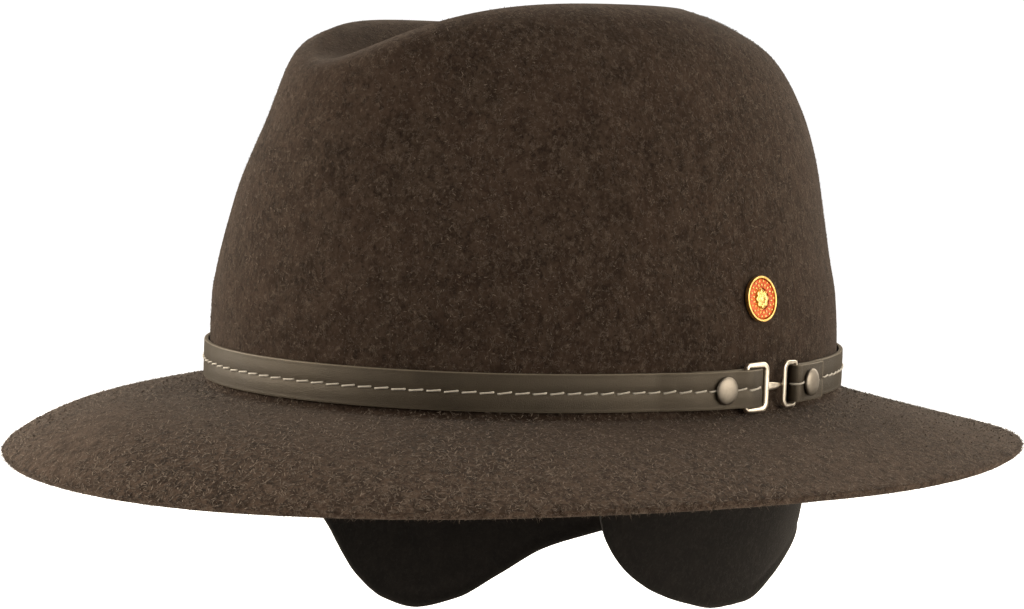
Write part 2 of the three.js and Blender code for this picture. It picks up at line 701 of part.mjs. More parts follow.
// Leather band: one strip round the crown, folded back through each ring and held by a rivet there
function hatBand() {
  const outline = new THREE.Shape(stripOutline(bandMiddleLine(), BAND_THICKNESS));
  const strip = new THREE.ExtrudeGeometry(outline, { depth: BAND_WIDTH, bevelEnabled: false });
  strip.translate(0, 0, BAND_BOTTOM);
  let solid = toSolid(strip);
  for (const distance of [FRONT_RIVET, REAR_RIVET]) {
    const reach = RIVET_CAP_BASE + CLEARANCE;
    const hole = new THREE.CylinderGeometry(
      RIVET_SHANK_RADIUS + CLEARANCE,
      RIVET_SHANK_RADIUS + CLEARANCE,
      2 * reach,
      ROUND_SIDES,
    );
    hole.rotateX(Math.PI / 2).applyMatrix4(rivetFrame(distance));
    solid = solid.subtract(toSolid(hole));
  }
  return toGeometry(solid);
}

// Clasp: each ring is flat, in a frame with +X along the band, +Y up and +Z off the felt
function ringHeight(wireWidth) {
  return BAND_WIDTH + 2 * CLEARANCE + wireWidth;
}

function ringFrame(distance, off) {
  return frameAt(bandPoint(distance, off, BAND_MIDDLE_HEIGHT), bandOutward(distance));
}

// Tongue of the hook, from the ring's front bar to behind the eye's bar
const TONGUE_ROWS = [
  { reach: 0, off: 0, height: 0.85 },
  { reach: 0.25, off: 0.1, height: 1 },
  { reach: 0.5, off: 0.35, height: 0.95 },
  { reach: 0.75, off: 0.72, height: 0.66 },
  { reach: 1, off: 1, height: 0.48 },
  { reach: 1.18, off: 0.85, height: 0.36 },
];

function hookRing() {
  const ring = wireRing(
    HOOK_RING_LENGTH,
    ringHeight(HOOK_WIRE_WIDTH),
    HOOK_WIRE_WIDTH,
    HOOK_WIRE_DEPTH,
    1,
  ).applyMatrix4(ringFrame(HOOK_FOLD_BAR + HOOK_RING_LENGTH / 2, HOOK_BAR_OFF));
  const sides = 8;
  const behindEye = EYE_BAR_OFF - (EYE_WIRE_DEPTH / 2 + CLEARANCE + TONGUE_THICKNESS / 2);
  const sections = TONGUE_ROWS.map((row) => {
    const distance = HOOK_FRONT_BAR + HOOK_TO_EYE * row.reach;
    const centre = bandPoint(distance, mix(HOOK_BAR_OFF, behindEye, row.off), BAND_MIDDLE_HEIGHT);
    const outward = bandOutward(distance);
    const halfHeight = TONGUE_HALF_HEIGHT * row.height;
    return Array.from({ length: sides }, (_, i) => {
      const turn = (TURN * (i + 0.5)) / sides;
      const point = centre.clone().addScaledVector(outward, (TONGUE_THICKNESS / 2) * Math.sin(turn));
      point.z += halfHeight * Math.cos(turn);
      return point;
    });
  });
  const tips = [sections[0], sections[sections.length - 1]].map((section) => section
    .reduce((sum, point) => sum.add(point), new THREE.Vector3())
    .divideScalar(section.length));
  return toGeometry(toSolid(ring).add(toSolid(skin(sections, tips))));
}

function eyeRing() {
  return wireRing(
    EYE_RING_LENGTH,
    ringHeight(EYE_WIRE_WIDTH),
    EYE_WIRE_WIDTH,
    EYE_WIRE_DEPTH,
    -1,
  ).applyMatrix4(ringFrame(EYE_FOLD_BAR - EYE_RING_LENGTH / 2, EYE_BAR_OFF));
}

// Ear flaps: a plain band inside the crown that hangs out below the brim at the sides and the back
function flapFace(angle, height, depth) {
  const top = Math.max(height, ROOT_FILLET);
  const point = wallPointAtHeight(angle, top).addScaledVector(wallNormal(angle, top), -depth);
  const hanging = Math.max(0, -height);
  point.addScaledVector(baseNormal(angle), -hanging * Math.tan(radians(FLAP_INWARD_ANGLE)));
  point.z = height;
  return point;
}

function flapLowerEdge(angle) {
  const onLeft = Math.cos(angle) >= 0;
  const fromSide = onLeft ? angle : Math.PI - angle;
  const degrees = THREE.MathUtils.radToDeg(Math.atan2(Math.sin(fromSide), Math.cos(fromSide)));
  if (degrees <= FLAP_ROWS[0].angle) return FLAP_BAND_BOTTOM;
  const share = along(FLAP_ROWS, 'angle', onLeft ? 'left' : 'right', degrees);
  return FLAP_BAND_BOTTOM - FLAP_DROP * share;
}

function earFlapBand() {
  const rowCount = 8;
  const near = FELT_THICKNESS + FLAP_GAP;
  const far = near + FLAP_THICKNESS;
  const side = FLAP_ROWS.map((row) => row.angle);
  const between = side.slice(1).map((angle, i) => (angle + side[i]) / 2);
  const back = [...side, ...between.filter((angle) => angle > 0)].sort((a, b) => a - b);
  const half = [...FLAP_FRONT_ANGLES, ...back.slice(0, -1)];
  const degrees = [...half, 90, ...half.map((angle) => 180 - angle).reverse(), 270];
  const angles = degrees.map(radians);
  const rings = (depth) => Array.from({ length: rowCount }, (_, i) => angles.map((angle) => {
    const top = FLAP_BAND_BOTTOM + FLAP_BAND_HEIGHT;
    return flapFace(angle, mix(top, flapLowerEdge(angle), i / (rowCount - 1)), depth);
  }));
  return skin([...rings(near), ...rings(far).reverse()]);
}

// Felt body with the small hole for the pin's post
function piercedFelt() {
  const hole = new THREE.CylinderGeometry(
    POST_RADIUS + CLEARANCE,
    POST_RADIUS + CLEARANCE,
    4 * FELT_THICKNESS,
    ROUND_SIDES,
  );
  hole.rotateX(Math.PI / 2).applyMatrix4(BADGE_FRAME);
  return toGeometry(toSolid(feltBody()).subtract(toSolid(hole)));
}

const hat = new THREE.Group();
hat.add(piece('felt_body', piercedFelt(), MATERIALS.felt));
hat.add(piece('ear_flap_band', earFlapBand(), MATERIALS.flaps));

const bandSet = new THREE.Group();
bandSet.add(piece('hat_band', hatBand(), MATERIALS.leather));
bandSet.add(piece('hook_ring', hookRing(), MATERIALS.nickel));
bandSet.add(piece('eye_ring', eyeRing(), MATERIALS.nickel));
bandSet.add(piece('rivet_front', rivet(), MATERIALS.rivet, rivetFrame(FRONT_RIVET)));
bandSet.add(piece('rivet_rear', rivet(), MATERIALS.rivet, rivetFrame(REAR_RIVET)));
hat.add(bandSet);

const badge = new THREE.Group();
badge.add(piece('badge_dish', badgeDish(), MATERIALS.gold, BADGE_FRAME));
badge.add(piece('badge_enamel', badgeEnamel(), MATERIALS.enamel, BADGE_FRAME));
badge.add(piece('badge_clutch', badgeClutch(), MATERIALS.nickel, BADGE_FRAME));
hat.add(badge);

export default hat;
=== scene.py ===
# Looks of the felt hiking hat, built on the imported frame. Lengths in the tables and the
# shape functions are in millimetres, and every mesh is turned to metres as it is made.

import math

import bpy
import numpy as np
from mathutils import Matrix, Vector


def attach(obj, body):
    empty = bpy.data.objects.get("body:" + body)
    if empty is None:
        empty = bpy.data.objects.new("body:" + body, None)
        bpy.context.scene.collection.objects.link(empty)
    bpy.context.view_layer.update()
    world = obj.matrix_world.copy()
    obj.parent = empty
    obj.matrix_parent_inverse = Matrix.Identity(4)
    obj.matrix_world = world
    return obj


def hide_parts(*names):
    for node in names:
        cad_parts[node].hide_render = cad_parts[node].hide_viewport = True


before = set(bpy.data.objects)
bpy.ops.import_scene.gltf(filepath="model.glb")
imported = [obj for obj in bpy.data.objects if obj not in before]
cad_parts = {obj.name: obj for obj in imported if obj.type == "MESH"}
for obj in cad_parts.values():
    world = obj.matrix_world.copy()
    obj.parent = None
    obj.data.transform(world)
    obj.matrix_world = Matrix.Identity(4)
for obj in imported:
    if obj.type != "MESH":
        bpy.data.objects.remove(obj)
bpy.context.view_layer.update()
rng = np.random.default_rng(11)
MM = 0.001
TURN = 2 * math.pi


# -------- shape of the hat

FELT_THICKNESS = 2.3
CROWN_HALF_WIDTH, CROWN_HALF_LENGTH = 87.0, 105.5
RIDGE_HEIGHT, LIP_HEIGHT, BACK_RIDGE_HEIGHT = 115.7, 100.0, 116.0
RIDGE_HALF_WIDTH, RIDGE_FRONT_REACH, RIDGE_BACK_REACH = 46.0, 81.5, 44.0
RIDGE_SIDE_LEAN, RIDGE_FRONT_NARROWING, LIP_SHARPNESS = 7.2, 0.06, 4
DENT_DEPTH, PINCH_DEPTH, PINCH_SPREAD, PINCH_HEIGHT = 24.0, 4.7, 22.0, 78.0
PINCH_DEGREES = (-50.0, -130.0)
# At the front, side and back
BRIM_WIDTHS = (63.4, 57.8, 60.5)
BRIM_DROPS = (21.3, 15.6, 16.1)
BRIM_REAR_QUARTER_LIFT, BRIM_SIDE_LEAN, ROOT_FILLET = 2.3, 2.3, 2.5

# Columns: share of the rise, then how far the wall has leaned in at the front, side and back
WALL_ROWS = np.array([
    [0, 0, 0, 0], [.12, -.003, .004, .008], [.25, .002, .018, .032], [.36, .062, .068, .075],
    [.48, .149, .131, .112], [.6, .235, .195, .155], [.7, .351, .28, .208], [.78, .472, .374, .275],
    [.85, .579, .471, .363], [.9, .656, .561, .467], [.94, .721, .67, .618], [.975, .807, .808, .808],
    [1, 1, 1, 1]])
# Columns: share of the way from the ridge to the middle of the dent, and how far it has sunk
DENT_ROWS = np.array([[0, 0], [.08, .03], [.2, .16], [.34, .42], [.5, .72], [.7, .93], [1, 1]])
# Columns: share of the brim's width, then how far it has dropped at the front, side and back
BRIM_ROWS = np.array([
    [0, 0, 0, 0], [.12, .029, .08, .164], [.28, .076, .21, .337], [.43, .145, .349, .486],
    [.6, .277, .524, .646], [.75, .466, .693, .782], [.9, .747, .873, .914], [1, 1, 1, 1]])


def along(rows, column, key):
    """Value of a column at a key of the first column, smooth through the rows and without overshoot."""
    keys, values = rows[:, 0], rows[:, column]
    key = np.clip(key, keys[0], keys[-1])
    run = np.diff(keys)
    rate = np.diff(values) / run
    product = rate[:-1] * rate[1:]
    mean = np.where(product > 0, 2 * product / np.where(product > 0, rate[:-1] + rate[1:], 1), 0)
    slope = np.concatenate([rate[:1], mean, rate[-1:]])
    i = np.clip(np.searchsorted(keys, key, side="left") - 1, 0, len(run) - 1)
    q = (key - keys[i]) / run[i]
    rise = q * q * (3 - 2 * q)
    return (values[i] + (values[i + 1] - values[i]) * rise
            + run[i] * (q * (1 - q) ** 2 * slope[i] - q * q * (1 - q) * slope[i + 1]))


def around_hat(front, side, back, angle):
    """Value at an angle, from those at the front, the sides and the back."""
    turned = np.sin(angle)
    return side + (np.where(turned < 0, front, back) - side) * turned ** 2


def rows_around(rows, key, angle):
    return around_hat(along(rows, 1, key), along(rows, 2, key), along(rows, 3, key), angle)


def unit(v):
    return v / np.maximum(np.linalg.norm(v, axis=-1, keepdims=True), 1e-12)


def base_point(angle):
    return np.stack([CROWN_HALF_WIDTH * np.cos(angle), CROWN_HALF_LENGTH * np.sin(angle), 0 * angle], -1)


def base_normal(angle):
    return unit(np.stack([
        np.cos(angle) / CROWN_HALF_WIDTH, np.sin(angle) / CROWN_HALF_LENGTH, 0 * angle], -1))


def ridge_point(angle):
    side, turned = np.cos(angle), np.sin(angle)
    front, back = np.maximum(0, -turned), np.maximum(0, turned)
    return np.stack([
        RIDGE_HALF_WIDTH * side * (1 - RIDGE_FRONT_NARROWING * front),
        RIDGE_BACK_REACH * back - RIDGE_FRONT_REACH * front,
        RIDGE_HEIGHT - (RIDGE_HEIGHT - LIP_HEIGHT) * front ** LIP_SHARPNESS
        - (RIDGE_HEIGHT - BACK_RIDGE_HEIGHT) * back ** 2 + RIDGE_SIDE_LEAN / 2 * side], -1)


def plain_wall(angle, rise):
    base, ridge = base_point(angle), ridge_point(angle)
    point = base + (ridge - base) * rows_around(WALL_ROWS, rise, angle)[..., None]
    point[..., 2] = ridge[..., 2] * rise
    return point


def pinched(point):
    """The point moved inwards where the two front pinches are."""
    result = point.copy()
    for degrees in PINCH_DEGREES:
        angle = np.radians(np.array([degrees]))
        centre = plain_wall(angle, PINCH_HEIGHT / ridge_point(angle)[..., 2])[0]
        near = np.exp(-(np.linalg.norm(point - centre, axis=-1) / PINCH_SPREAD) ** 2)
        result -= PINCH_DEPTH * near[..., None] * base_normal(angle)[0]
    return result


def wall_point(angle, rise):
    return pinched(plain_wall(angle, rise))


def wall_at(angle, height):
    return wall_point(angle, height / ridge_point(angle)[..., 2])


def wall_normal(angle, height):
    small_turn, small_rise = 0.01, 1
    across = wall_at(angle + small_turn, height) - wall_at(angle - small_turn, height)
    up = wall_at(angle, height + small_rise) - wall_at(angle, height - small_rise)
    return unit(np.cross(across, up))


def dent_point(angle, inward):
    ridge = ridge_point(angle)
    point = ridge * (1 - inward)[..., None]
    sunk = along(DENT_ROWS, 1, inward)
    point[..., 2] = ridge[..., 2] + (RIDGE_HEIGHT - DENT_DEPTH - ridge[..., 2]) * sunk
    return pinched(point)


def brim_width(angle):
    return around_hat(*BRIM_WIDTHS, angle)


def brim_point(angle, width):
    rear_quarter = np.where(np.sin(angle) > 0, np.sin(2 * angle) ** 2, 0)
    drop = (around_hat(*BRIM_DROPS, angle) - BRIM_REAR_QUARTER_LIFT * rear_quarter
            - BRIM_SIDE_LEAN / 2 * np.cos(angle))
    point = base_point(angle) + base_normal(angle) * (brim_width(angle) * width)[..., None]
    point[..., 2] = -drop * rows_around(BRIM_ROWS, width, angle)
    return point


def fillet_point(angle, share):
    on_brim = brim_point(angle, ROOT_FILLET / brim_width(angle))
    on_wall = wall_at(angle, ROOT_FILLET + 0 * angle)
    s = share[..., None]
    return on_brim * (1 - s) ** 2 + base_point(angle) * 2 * s * (1 - s) + on_wall * s ** 2


# -------- mesh helpers

def strip_faces(rows, columns, closed_rows=False, start=0):
    """Quads between closed rings of points that are stored ring by ring."""
    i, j = np.meshgrid(np.arange(rows if closed_rows else rows - 1), np.arange(columns), indexing="ij")
    here, above, right = i * columns, ((i + 1) % rows) * columns, (j + 1) % columns
    return (np.stack([here + j, here + right, above + right, above + j], -1).reshape(-1, 4) + start).tolist()


def new_object(name, data):
    made = bpy.data.objects.new(name, data)
    bpy.context.scene.collection.objects.link(made)
    return made


def piece(name, points, faces, material, replaces=()):
    mesh = bpy.data.meshes.new(name)
    mesh.from_pydata((np.asarray(points) * MM).tolist(), [], faces)
    mesh.validate()
    mesh.shade_smooth()
    mesh.materials.append(material)
    made = new_object(name, mesh)
    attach(made, "root")
    if replaces:
        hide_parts(*replaces)
    return made


def tone(made, name, values):
    """One number per point, which the material reads by its name."""
    attribute = made.data.attributes.new(name, "FLOAT", "POINT")
    attribute.data.foreach_set("value", np.asarray(values, np.float32))


class Shell:
    """Points and faces that are gathered into one piece."""

    def __init__(self):
        self.points, self.faces, self.count = [], [], 0

    def grid(self, rings, closed_rows=False, caps=False):
        """Closed rings of points, as rows by columns by 3. Caps close the first and the last."""
        rings = np.asarray(rings, float)
        rows, columns = rings.shape[:2]
        self.faces += strip_faces(rows, columns, closed_rows, self.count)
        if caps:
            last = self.count + (rows - 1) * columns
            self.faces.append([self.count + k for k in range(columns)][::-1])
            self.faces.append([last + k for k in range(columns)])
        self.points.append(rings.reshape(-1, 3))
        self.count += rows * columns
        return self

    def piece(self, name, material, slot, replaces=()):
        return piece(name, np.concatenate(self.points), self.faces, material, replaces)


def placer(origin, outward):
    """A function that moves points given as across, up and outward to their place at an origin."""
    across = unit(np.cross([0, 0, 1], outward))
    axes = np.array([across, np.cross(outward, across), outward])
    return lambda points: points @ axes + origin


# Radius that stands for none, so that the points of a cap stay apart
AXIS = 0.001


def lathe(profile, sides):
    """Rings of a turned form about +Z from radius and height pairs."""
    turn = TURN * np.arange(sides) / sides
    profile = np.asarray(profile, float)
    return np.stack([
        profile[:, :1] * np.cos(turn), profile[:, :1] * np.sin(turn),
        np.repeat(profile[:, 1:], sides, 1)], -1)


def rounded(profile, radius):
    """The profile with its inner corners rounded off. No arc takes half of a side."""
    arc_steps, side_share = 4, 2.01
    profile = [np.array(p, float) for p in profile]
    result = [profile[0]]
    for before, corner, after in zip(profile, profile[1:], profile[2:]):
        reach = min([radius] + [np.linalg.norm(end - corner) / side_share for end in (before, after)])
        a, b = corner + reach * unit(before - corner), corner + reach * unit(after - corner)
        for q in np.linspace(0, 1, arc_steps + 1):
            result.append(a * (1 - q) ** 2 + corner * 2 * q * (1 - q) + b * q ** 2)
    return np.array(result + [profile[-1]])


# -------- materials

def plug(tree, sockets, values):
    """Gives each named socket a number, a colour or another node's output."""
    for name, value in values.items():
        if isinstance(value, bpy.types.NodeSocket):
            tree.links.new(value, sockets[name])
        else:
            sockets[name].default_value = value


def add(tree, kind, inputs=None, **settings):
    made = tree.nodes.new(kind)
    for name, value in settings.items():
        setattr(made, name, value)
    plug(tree, made.inputs, inputs or {})
    return made


def calc(tree, operation, a, b=0.0, c=0.0):
    return add(tree, "ShaderNodeMath", {0: a, 1: b, 2: c}, operation=operation).outputs[0]


def times(tree, a, b):
    return calc(tree, "MULTIPLY", a, b)


def vector_node(tree, operation, a, b):
    return add(tree, "ShaderNodeVectorMath", {0: a, 1: b}, operation=operation).outputs[0]


def spread(tree, value, low, high, to_low=0.0, to_high=1.0):
    return add(tree, "ShaderNodeMapRange", {
        "Value": value, "From Min": low, "From Max": high, "To Min": to_low, "To Max": to_high,
    }, interpolation_type="SMOOTHSTEP").outputs["Result"]


def noise(tree, vector, scale, detail=2.0, roughness=0.5, distortion=0.0):
    return add(tree, "ShaderNodeTexNoise", {
        "Vector": vector, "Scale": scale, "Detail": detail, "Roughness": roughness,
        "Distortion": distortion}).outputs["Fac"]


def hairlines(tree, value, width):
    """Thin lines where a noise crosses its middle value."""
    off = calc(tree, "ABSOLUTE", calc(tree, "SUBTRACT", value, 0.5))
    return spread(tree, off, width, 0.0)


def blend(tree, share, a, b):
    made = add(tree, "ShaderNodeMix", data_type="RGBA")
    plug(tree, {s.name: s for s in made.inputs if s.enabled}, {"Factor": share, "A": a, "B": b})
    return next(s for s in made.outputs if s.enabled)


def layered(tree, colour, *layers):
    """A colour with others laid over it in turn, each by its share."""
    for share, over in layers:
        colour = blend(tree, share, colour, over)
    return colour


def bump(tree, height, strength, distance_mm):
    return add(tree, "ShaderNodeBump", {
        "Height": height, "Strength": strength, "Distance": distance_mm * MM}).outputs["Normal"]


def point_value(tree, name):
    """The number that tone() gave to each point under this name."""
    return add(tree, "ShaderNodeAttribute", attribute_name=name).outputs["Fac"]


def rgb(red, green, blue):
    return (red, green, blue, 1.0)


def group(name, *outputs):
    """A node group that turns a position into numbers: its tree, the position and its output sockets."""
    tree = bpy.data.node_groups.new(name, "ShaderNodeTree")
    tree.interface.new_socket("Vector", in_out="INPUT", socket_type="NodeSocketVector")
    for label in outputs:
        tree.interface.new_socket(label, in_out="OUTPUT", socket_type="NodeSocketFloat")
    return tree, add(tree, "NodeGroupInput").outputs["Vector"], add(tree, "NodeGroupOutput").inputs


def use(tree, made, at):
    return add(tree, "ShaderNodeGroup", {"Vector": at}, node_tree=made).outputs


def wool_group():
    """Mottled felted wool: blotches, light and dark flecks of fibre, and a height for the bump."""
    tree, at, out = group("felted wool", "Blotches", "Light flecks", "Dark flecks", "Height")
    fine = noise(tree, at, 760, 4, 0.7, 0.4)
    mottle = calc(tree, "MULTIPLY_ADD", noise(tree, at, 170, 3, 0.6), 0.4, times(tree, fine, 0.6))
    flecks = []
    for scale, bend, shift, width in ((720, 1.5, 0.0, 0.085), (930, 2.0, 3.7, 0.075), (760, 1.2, 8.1, 0.10)):
        moved = vector_node(tree, "ADD", at, (shift, shift, shift))
        broken = spread(tree, noise(tree, moved, scale * 0.7, 1), 0.53, 0.64)
        flecks.append(times(tree, hairlines(tree, noise(tree, moved, scale, 1, 0.5, bend), width), broken))
    light, dark = calc(tree, "MAXIMUM", flecks[0], flecks[1]), flecks[2]
    raised = calc(tree, "MULTIPLY_ADD", fine, 0.8, times(tree, light, 0.4))
    plug(tree, out, {
        "Blotches": spread(tree, mottle, 0.38, 0.62), "Light flecks": light, "Dark flecks": dark,
        "Height": calc(tree, "SUBTRACT", raised, times(tree, dark, 0.3))})
    return tree


def grain_group():
    """Fine leather grain with pores, and slow changes of tone."""
    tree, at, out = group("leather grain", "Tone", "Pores", "Height")
    cells = add(tree, "ShaderNodeTexVoronoi", {"Vector": at, "Scale": 1700.0},
                feature="DISTANCE_TO_EDGE").outputs["Distance"]
    slow = noise(tree, at, 90, 3, 0.6)
    pores = spread(tree, noise(tree, at, 2600, 1), 0.62, 0.7)
    raised = calc(tree, "MULTIPLY_ADD", slow, 1.2, spread(tree, cells, 0.0, 0.12))
    plug(tree, out, {
        "Tone": slow, "Pores": pores, "Height": calc(tree, "SUBTRACT", raised, times(tree, pores, 0.6))})
    return tree


def wear_group():
    """Cast and handled metal: cloudy patches and fine scratches."""
    tree, at, out = group("metal wear", "Clouds", "Scratches", "Height")
    clouds = noise(tree, at, 420, 4, 0.65)
    stretched = vector_node(tree, "MULTIPLY", at, (0.25, 1.0, 2.6))
    scratches = hairlines(tree, noise(tree, stretched, 900, 2, 0.5, 0.6), 0.012)
    plug(tree, out, {
        "Clouds": clouds, "Scratches": scratches,
        "Height": calc(tree, "SUBTRACT", times(tree, clouds, 0.6), scratches)})
    return tree


WOOL, GRAIN, WEAR = wool_group(), grain_group(), wear_group()


def material(name):
    """A new material: its tree, its shader's inputs and the object coordinates."""
    made = bpy.data.materials.new(name)
    made.use_nodes = True
    tree = made.node_tree
    at = add(tree, "ShaderNodeTexCoord").outputs["Object"]
    return made, tree, tree.nodes["Principled BSDF"].inputs, at


def felt_material():
    """Mottled felt, lighter and patchier towards the rim of the brim."""
    made, tree, shader, at = material("brown_wool_felt")
    wool = use(tree, WOOL, vector_node(tree, "MULTIPLY", at, (1.0, 1.0, 0.85)))
    rim = point_value(tree, "rim")
    tint = spread(tree, noise(tree, at, 60, 3, 0.6), 0.35, 0.65)
    patches = spread(tree, noise(tree, at, 330, 3, 0.65), 0.39, 0.61, 0.05, 1.0)
    light_share = calc(tree, "MULTIPLY_ADD", rim, 0.4, 0.42)
    colour = layered(
        tree, rgb(0.0175, 0.0105, 0.0069), (wool["Blotches"], rgb(0.049, 0.0335, 0.0243)),
        (times(tree, tint, 0.35), rgb(0.044, 0.0265, 0.0185)),
        (times(tree, rim, patches), rgb(0.080, 0.0545, 0.0400)),
        (times(tree, wool["Dark flecks"], 0.75), rgb(0.0095, 0.0055, 0.0036)),
        (times(tree, wool["Light flecks"], light_share), rgb(0.145, 0.112, 0.088)))
    plug(tree, shader, {
        "Base Color": colour, "Roughness": 0.95, "Specular IOR Level": 0.1, "Sheen Weight": 0.12,
        "Sheen Roughness": 0.5, "Sheen Tint": rgb(0.55, 0.47, 0.41),
        "Normal": bump(tree, wool["Height"], 0.8, 0.4)})
    return made


def nap_material():
    """Loose fibres on the felt, from dark brown to beige by the tone of each."""
    made, tree, shader, _ = material("loose_wool_fibres")
    colour = blend(tree, point_value(tree, "tone"), rgb(0.013, 0.008, 0.0055), rgb(0.255, 0.202, 0.160))
    plug(tree, shader, {
        "Base Color": colour, "Roughness": 0.9, "Specular IOR Level": 0.1, "Sheen Weight": 0.1})
    return made


def leather_material():
    """Leather with fine grain, duller where it turns away from the eye, and a raw fibrous edge."""
    made, tree, shader, at = material("taupe_leather")
    grain = use(tree, GRAIN, at)
    face = layered(
        tree, rgb(0.0215, 0.0165, 0.0110),
        (spread(tree, grain["Tone"], 0.3, 0.7), rgb(0.0340, 0.0262, 0.0178)),
        (times(tree, grain["Pores"], 0.4), rgb(0.020, 0.016, 0.012)))
    raw = blend(tree, noise(tree, at, 1500, 3, 0.7), rgb(0.085, 0.070, 0.050), rgb(0.175, 0.150, 0.112))
    turned_away = add(tree, "ShaderNodeLayerWeight").outputs["Facing"]
    rough = calc(tree, "ADD", spread(tree, grain["Tone"], 0.25, 0.75, 0.40, 0.54),
                 spread(tree, turned_away, 0.5, 0.9, 0.0, 0.42))
    plug(tree, shader, {
        "Base Color": blend(tree, point_value(tree, "edge"), face, raw), "Roughness": rough,
        "Specular IOR Level": 0.66, "Specular Tint": rgb(1.0, 0.87, 0.70),
        "Normal": bump(tree, grain["Height"], 0.35, 0.12)})
    return made


def thread_material():
    made, tree, shader, at = material("grey_beige_thread")
    fluff = noise(tree, at, 2400, 2)
    plug(tree, shader, {
        "Base Color": blend(tree, fluff, rgb(0.34, 0.31, 0.26), rgb(0.66, 0.61, 0.53)), "Roughness": 0.7,
        "Sheen Weight": 0.25, "Normal": bump(tree, fluff, 0.5, 0.08)})
    return made


def metal_material(name, dull, bright, smoothest, roughest, wear_strength):
    made, tree, shader, at = material(name)
    wear = use(tree, WEAR, at)
    colour = layered(
        tree, dull, (spread(tree, wear["Clouds"], 0.3, 0.7), bright),
        (times(tree, wear["Scratches"], 0.25), dull))
    plug(tree, shader, {
        "Base Color": colour, "Metallic": 1.0,
        "Roughness": spread(tree, wear["Clouds"], 0.25, 0.75, smoothest, roughest),
        "Normal": bump(tree, wear["Height"], wear_strength, 0.05)})
    return made


def enamel_material():
    made, tree, shader, at = material("red_orange_enamel")
    clouds = noise(tree, at, 500, 3, 0.6)
    cloudy = spread(tree, clouds, 0.35, 0.65)
    plug(tree, shader, {
        "Base Color": blend(tree, cloudy, rgb(0.60, 0.075, 0.010), rgb(0.82, 0.150, 0.022)),
        "Roughness": 0.45, "Specular IOR Level": 0.3, "Coat Weight": 0.08, "Coat Roughness": 0.2,
        "Normal": bump(tree, clouds, 0.12, 0.05)})
    return made


def flap_material():
    made, tree, shader, at = material("black_flap_cloth")
    wool = use(tree, WOOL, at)
    colour = layered(
        tree, rgb(0.0028, 0.0021, 0.0016), (wool["Blotches"], rgb(0.0066, 0.0052, 0.0041)),
        (times(tree, wool["Light flecks"], 0.3), rgb(0.018, 0.0155, 0.013)))
    plug(tree, shader, {
        "Base Color": colour, "Roughness": 0.9, "Specular IOR Level": 0.2, "Sheen Weight": 0.08,
        "Sheen Roughness": 0.4, "Sheen Tint": rgb(0.6, 0.52, 0.45),
        "Normal": bump(tree, wool["Height"], 0.5, 0.25)})
    return made


FELT, NAP, LEATHER, THREAD = felt_material(), nap_material(), leather_material(), thread_material()
NICKEL = metal_material("pale_nickel", rgb(0.78, 0.70, 0.58), rgb(0.93, 0.85, 0.73), 0.27, 0.39, 0.03)
RIVET = metal_material(
    "satin_rivet_metal", rgb(0.265, 0.235, 0.198), rgb(0.325, 0.29, 0.245), 0.42, 0.52, 0.08)
GOLD = metal_material("gold_tone_metal", rgb(0.86, 0.50, 0.14), rgb(0.98, 0.66, 0.24), 0.24, 0.40, 0.1)
ENAMEL, CLOTH = enamel_material(), flap_material()


# -------- felt body

COLUMNS = 360
COLUMN_ANGLES = TURN * np.arange(COLUMNS) / COLUMNS
# Rings on the brim, wall and dent
OUTER_STEPS, INNER_STEPS, FILLET_STEPS = (46, 76, 34), (24, 40, 18), 6
CROWN_START = OUTER_STEPS[0] + FILLET_STEPS
CUT_STEPS, CUT_ROUNDING, CUT_PROUD = 9, 0.8, 0.1
RIM_FADE_START, RIM_FADE_LENGTH = 4, 48
DARK_FIBRE_RISE, FIBRE_BEND, FIBRE_ROOT_DEPTH = 0.2, 0.35, 0.1


def felt_rings(brim_rows, wall_rows, dent_rows):
    """Rings of the outer face from the cut edge inwards and up to the dent."""
    at, each = COLUMN_ANGLES, np.ones(COLUMNS)
    brim_root = ROOT_FILLET / BRIM_WIDTHS[1] * 1.3
    wall_root = 2 * ROOT_FILLET / LIP_HEIGHT
    rings = [brim_point(at, w * each) for w in np.linspace(1, brim_root, brim_rows)]
    rings += [fillet_point(at, s * each) for s in np.linspace(0, 1, FILLET_STEPS)]
    rings += [wall_point(at, r * each) for r in np.linspace(wall_root, 1, wall_rows)]
    rings += [dent_point(at, d * each) for d in np.linspace(0, 1, dent_rows + 1)[1:-1]]
    return np.array(rings)


def ring_normals(rings, tip):
    before = np.concatenate([rings[:1], rings[:-1]])
    after = np.concatenate([rings[1:], np.broadcast_to(tip, (1, rings.shape[1], 3))])
    return unit(np.cross(np.roll(rings, -1, 1) - np.roll(rings, 1, 1), after - before))


